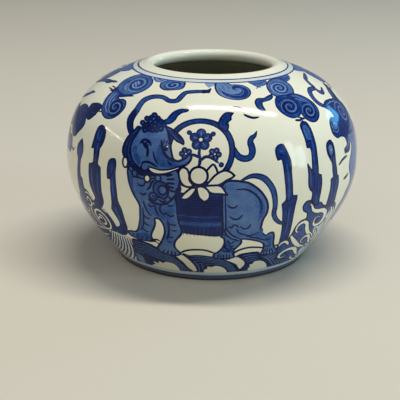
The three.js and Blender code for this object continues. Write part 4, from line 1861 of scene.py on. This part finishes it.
@dataclass(frozen=True)
class Biscuit:
    """Bare fired clay on the standing edge, a painted contact shadow above it, and the ring's thin bluish
    glaze, painted dark as shade.
    """

    clay: Colour = (196, 182, 160)
    # painted contact shadow: a near-black band low on the ring, just above the standing edge
    contact_shadow: Colour = (16, 16, 23)
    # the ring's thin bluish glaze, its colour darkened as painted shade
    glaze: Colour = (74, 83, 104)
    grit: Colour = (120, 98, 78)
    roughness: float = 0.78

    def material(self, groups: dict[str, NodeTree]) -> Material:
        """Makes the material.

        Args:
            groups: the node groups made so far, by name.

        Returns:
            The material.
        """
        material, n, shader = finish("bare_clay")
        mottle = n.add("Group", node_tree=groups["mottle"], Broad=180.0, Fine=2400.0)
        where = n.add("TexCoord").outputs["Object"]
        level = n.add("SeparateXYZ", Vector=where).outputs["Z"]
        edge = n.math("ADD", level, n.span(mottle.outputs["Mottle"], 0, 1, -0.00012, 0.00012))
        # painted contact shadow from just above the standing edge up to where the glaze begins
        near, coated = n.span(edge, 0.00002, 0.00012), n.span(edge, 0.0006, 0.00075)
        colour = n.blend(near, linear(*self.clay), linear(*self.contact_shadow))
        colour = n.blend(n.math("MULTIPLY", mottle.outputs["Speckle"], 0.6), colour, linear(*self.grit))
        # the ring's glaze above the contact shadow, painted dark as shade
        n.feed(shader.inputs["Base Color"], n.blend(coated, colour, linear(*self.glaze)))
        rough = n.span(mottle.outputs["Mottle"], 0, 1, self.roughness - 0.08, self.roughness + 0.08)
        rough = n.math("SUBTRACT", rough, n.math("MULTIPLY", coated, 0.55), clamp=True)
        n.feed(shader.inputs["Roughness"], rough)
        n.relief(mottle.outputs["Height"], 0.5, 0.0003)
        return material


# The studio


@dataclass(frozen=True)
class Lamp:
    """One soft lamp: a rectangle that faces the pot."""

    name: str
    place: tuple[float, float, float]
    along: tuple[float, float, float]
    size: Pair
    power: float
    colour: tuple[float, float, float]
    aim: tuple[float, float, float] = (0.0, 0.0, 0.04)

    def build(self) -> None:
        """Puts the lamp up, with its first side along the given direction."""
        light = bpy.data.lights.new(self.name, "AREA")
        light.shape, light.size, light.size_y = "RECTANGLE", *self.size
        light.energy, light.color = self.power, self.colour
        lamp = put(self.name, light)
        back = (Vector(self.place) - Vector(self.aim)).normalized()
        side = Vector(self.along)
        side = (side - back * side.dot(back)).normalized()
        axes = Matrix((side, back.cross(side), back)).transposed()
        lamp.matrix_world = Matrix.Translation(self.place) @ axes.to_4x4()


@dataclass(frozen=True)
class Studio:
    """The table, the light and the camera."""

    floor_colour: Colour = (217, 210, 193)
    reach: float = 2.5
    back: float = 0.8
    sky: Colour = (232, 236, 240)
    daylight: float = 0.25
    lens: float = 99.0
    distance: float = 353.948
    rise: float = 132.932
    pitch: float = 0.31825
    yaw: float = 0.01074
    roll: float = 0.0095

    def table(self) -> None:
        """A wide pale table top."""
        mesh = bpy.data.meshes.new("table_top")
        near, far = self.back - self.reach, self.back + self.reach
        corners = [(-self.reach, near, 0), (self.reach, near, 0), (self.reach, far, 0), (-self.reach, far, 0)]
        mesh.from_pydata(corners, [], [(0, 1, 2, 3)])
        table = put("table_top", mesh)
        material, n, shader = finish("pale_table")
        shader.inputs["Base Color"].default_value = linear(*self.floor_colour)
        shader.inputs["Roughness"].default_value = 0.7
        n.relief(n.noise(n.add("TexCoord").outputs["Object"], 900), 0.15, 0.0003)
        mesh.materials.append(material)

    def light(self) -> None:
        """Soft daylight all round, a fill in front, and lamps where the photograph's room shines."""
        world = bpy.data.worlds.new("daylight")
        bpy.context.scene.world = world
        world.use_nodes = True
        sky = world.node_tree.nodes["Background"]
        sky.inputs["Color"].default_value = linear(*self.sky)
        sky.inputs["Strength"].default_value = self.daylight
        room, window = (1.0, 0.98, 0.94), (0.76, 0.94, 1.0)
        lamplight, blue = (1.0, 0.93, 0.82), (0.14, 0.56, 1.0)
        for lamp in (
            Lamp("front_fill", (-0.35, -1.1, 1.05), (1, 0, 0), (1.7, 1.5), 4.0, room),
            Lamp("overhead", (0.175, 0.04, 0.915), (0.73, -0.065, -0.13), (0.74, 0.09), 5.6, room),
            Lamp("window_near", (0.745, -0.37, 0.25), (0, 0, 1), (0.38, 0.07), 0.9, window),
            Lamp("window_far", (0.79, -0.27, 0.16), (0, 0, 1), (0.3, 0.11), 1.0, window),
            Lamp("slim_left", (-0.75, -0.03, 0.34), (0, 1, 0.03), (0.34, 0.014), 0.3, lamplight),
            Lamp("sky_patch", (0.71, 0.53, 0.31), (0.6, -0.8, 0), (0.24, 0.2), 1.0, blue),
        ):
            lamp.build()

    def camera(self) -> None:
        """The camera, at the photograph's place."""
        data = bpy.data.cameras.new("camera")
        data.lens, data.sensor_width, data.clip_start, data.clip_end = self.lens, 36.0, 0.01, 20.0
        camera = put("camera", data)
        place = Matrix.Translation((0, -self.distance * MM, self.rise * MM))
        facing = Matrix.Rotation(self.yaw, 4, "Z") @ Matrix.Rotation(math.pi / 2 - self.pitch, 4, "X")
        camera.matrix_world = place @ facing @ Matrix.Rotation(self.roll, 4, "Z")
        bpy.context.scene.camera = camera

    def build(self) -> None:
        """Sets the view and puts up everything round the pot."""
        bpy.context.scene.view_settings.view_transform = "Standard"
        self.table()
        self.light()
        self.camera()


@dataclass
class FootRing:
    """The turned foot ring, left bare so that it doesn't stick in the kiln."""

    form: PotForm

    def build(self) -> Object:
        """Makes the ring as a closed body."""
        shell, profile = Shell(self.form), self.form.foot()
        shell.spin(profile, (0.3, 0.98), smooth=False)
        shell.spin(profile[[-1, 0]], (0.05, 0.25), smooth=False)
        return shell.mesh("foot_ring_biscuit")


def dress(piece: Object, material: Material, slot: str, *nodes: str) -> None:
    """Gives a piece its material and its place in the frame.

    Args:
        piece: the object.
        material: its material.
        slot: the record's material slot; not used.
        nodes: the CAD nodes that it stands for.
    """
    piece.data.materials.append(material)
    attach(piece, "root")
    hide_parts(*nodes)
    LOG.info("%s: %d faces, stands for %s", piece.name, len(piece.data.polygons), ", ".join(nodes))


def main() -> None:
    """Builds the pot and the studio round it."""
    logging.basicConfig(level=logging.INFO, format="%(message)s")
    form = PotForm()
    painting = Painting(form)
    panels = Panel(0.0), Panel(180.0, 0.45)
    for panel in panels:
        panel.side(painting)
    for panel in panels:
        panel.front(painting)
    painting.hoops()
    groups = {"mottle": SharedEffects().grain(), "cobalt": Glaze().cobalt()}
    glaze, biscuit = Glaze().material(groups), Biscuit().material(groups)
    body = GlazedBody(form, painting)
    LOG.info("painting: %d marks, %d faces", len(painting.laid), len(body.faces))
    dress(body.upper_bowl(), glaze, "glaze", "upper_bowl")
    dress(body.slip_joint(), glaze, "glaze", "luting_slip")
    dress(body.lower_bowl(), glaze, "glaze", "lower_bowl")
    dress(FootRing(form).build(), biscuit, "biscuit", "foot_ring")
    Studio().build()


if __name__ == "__main__":
    main()
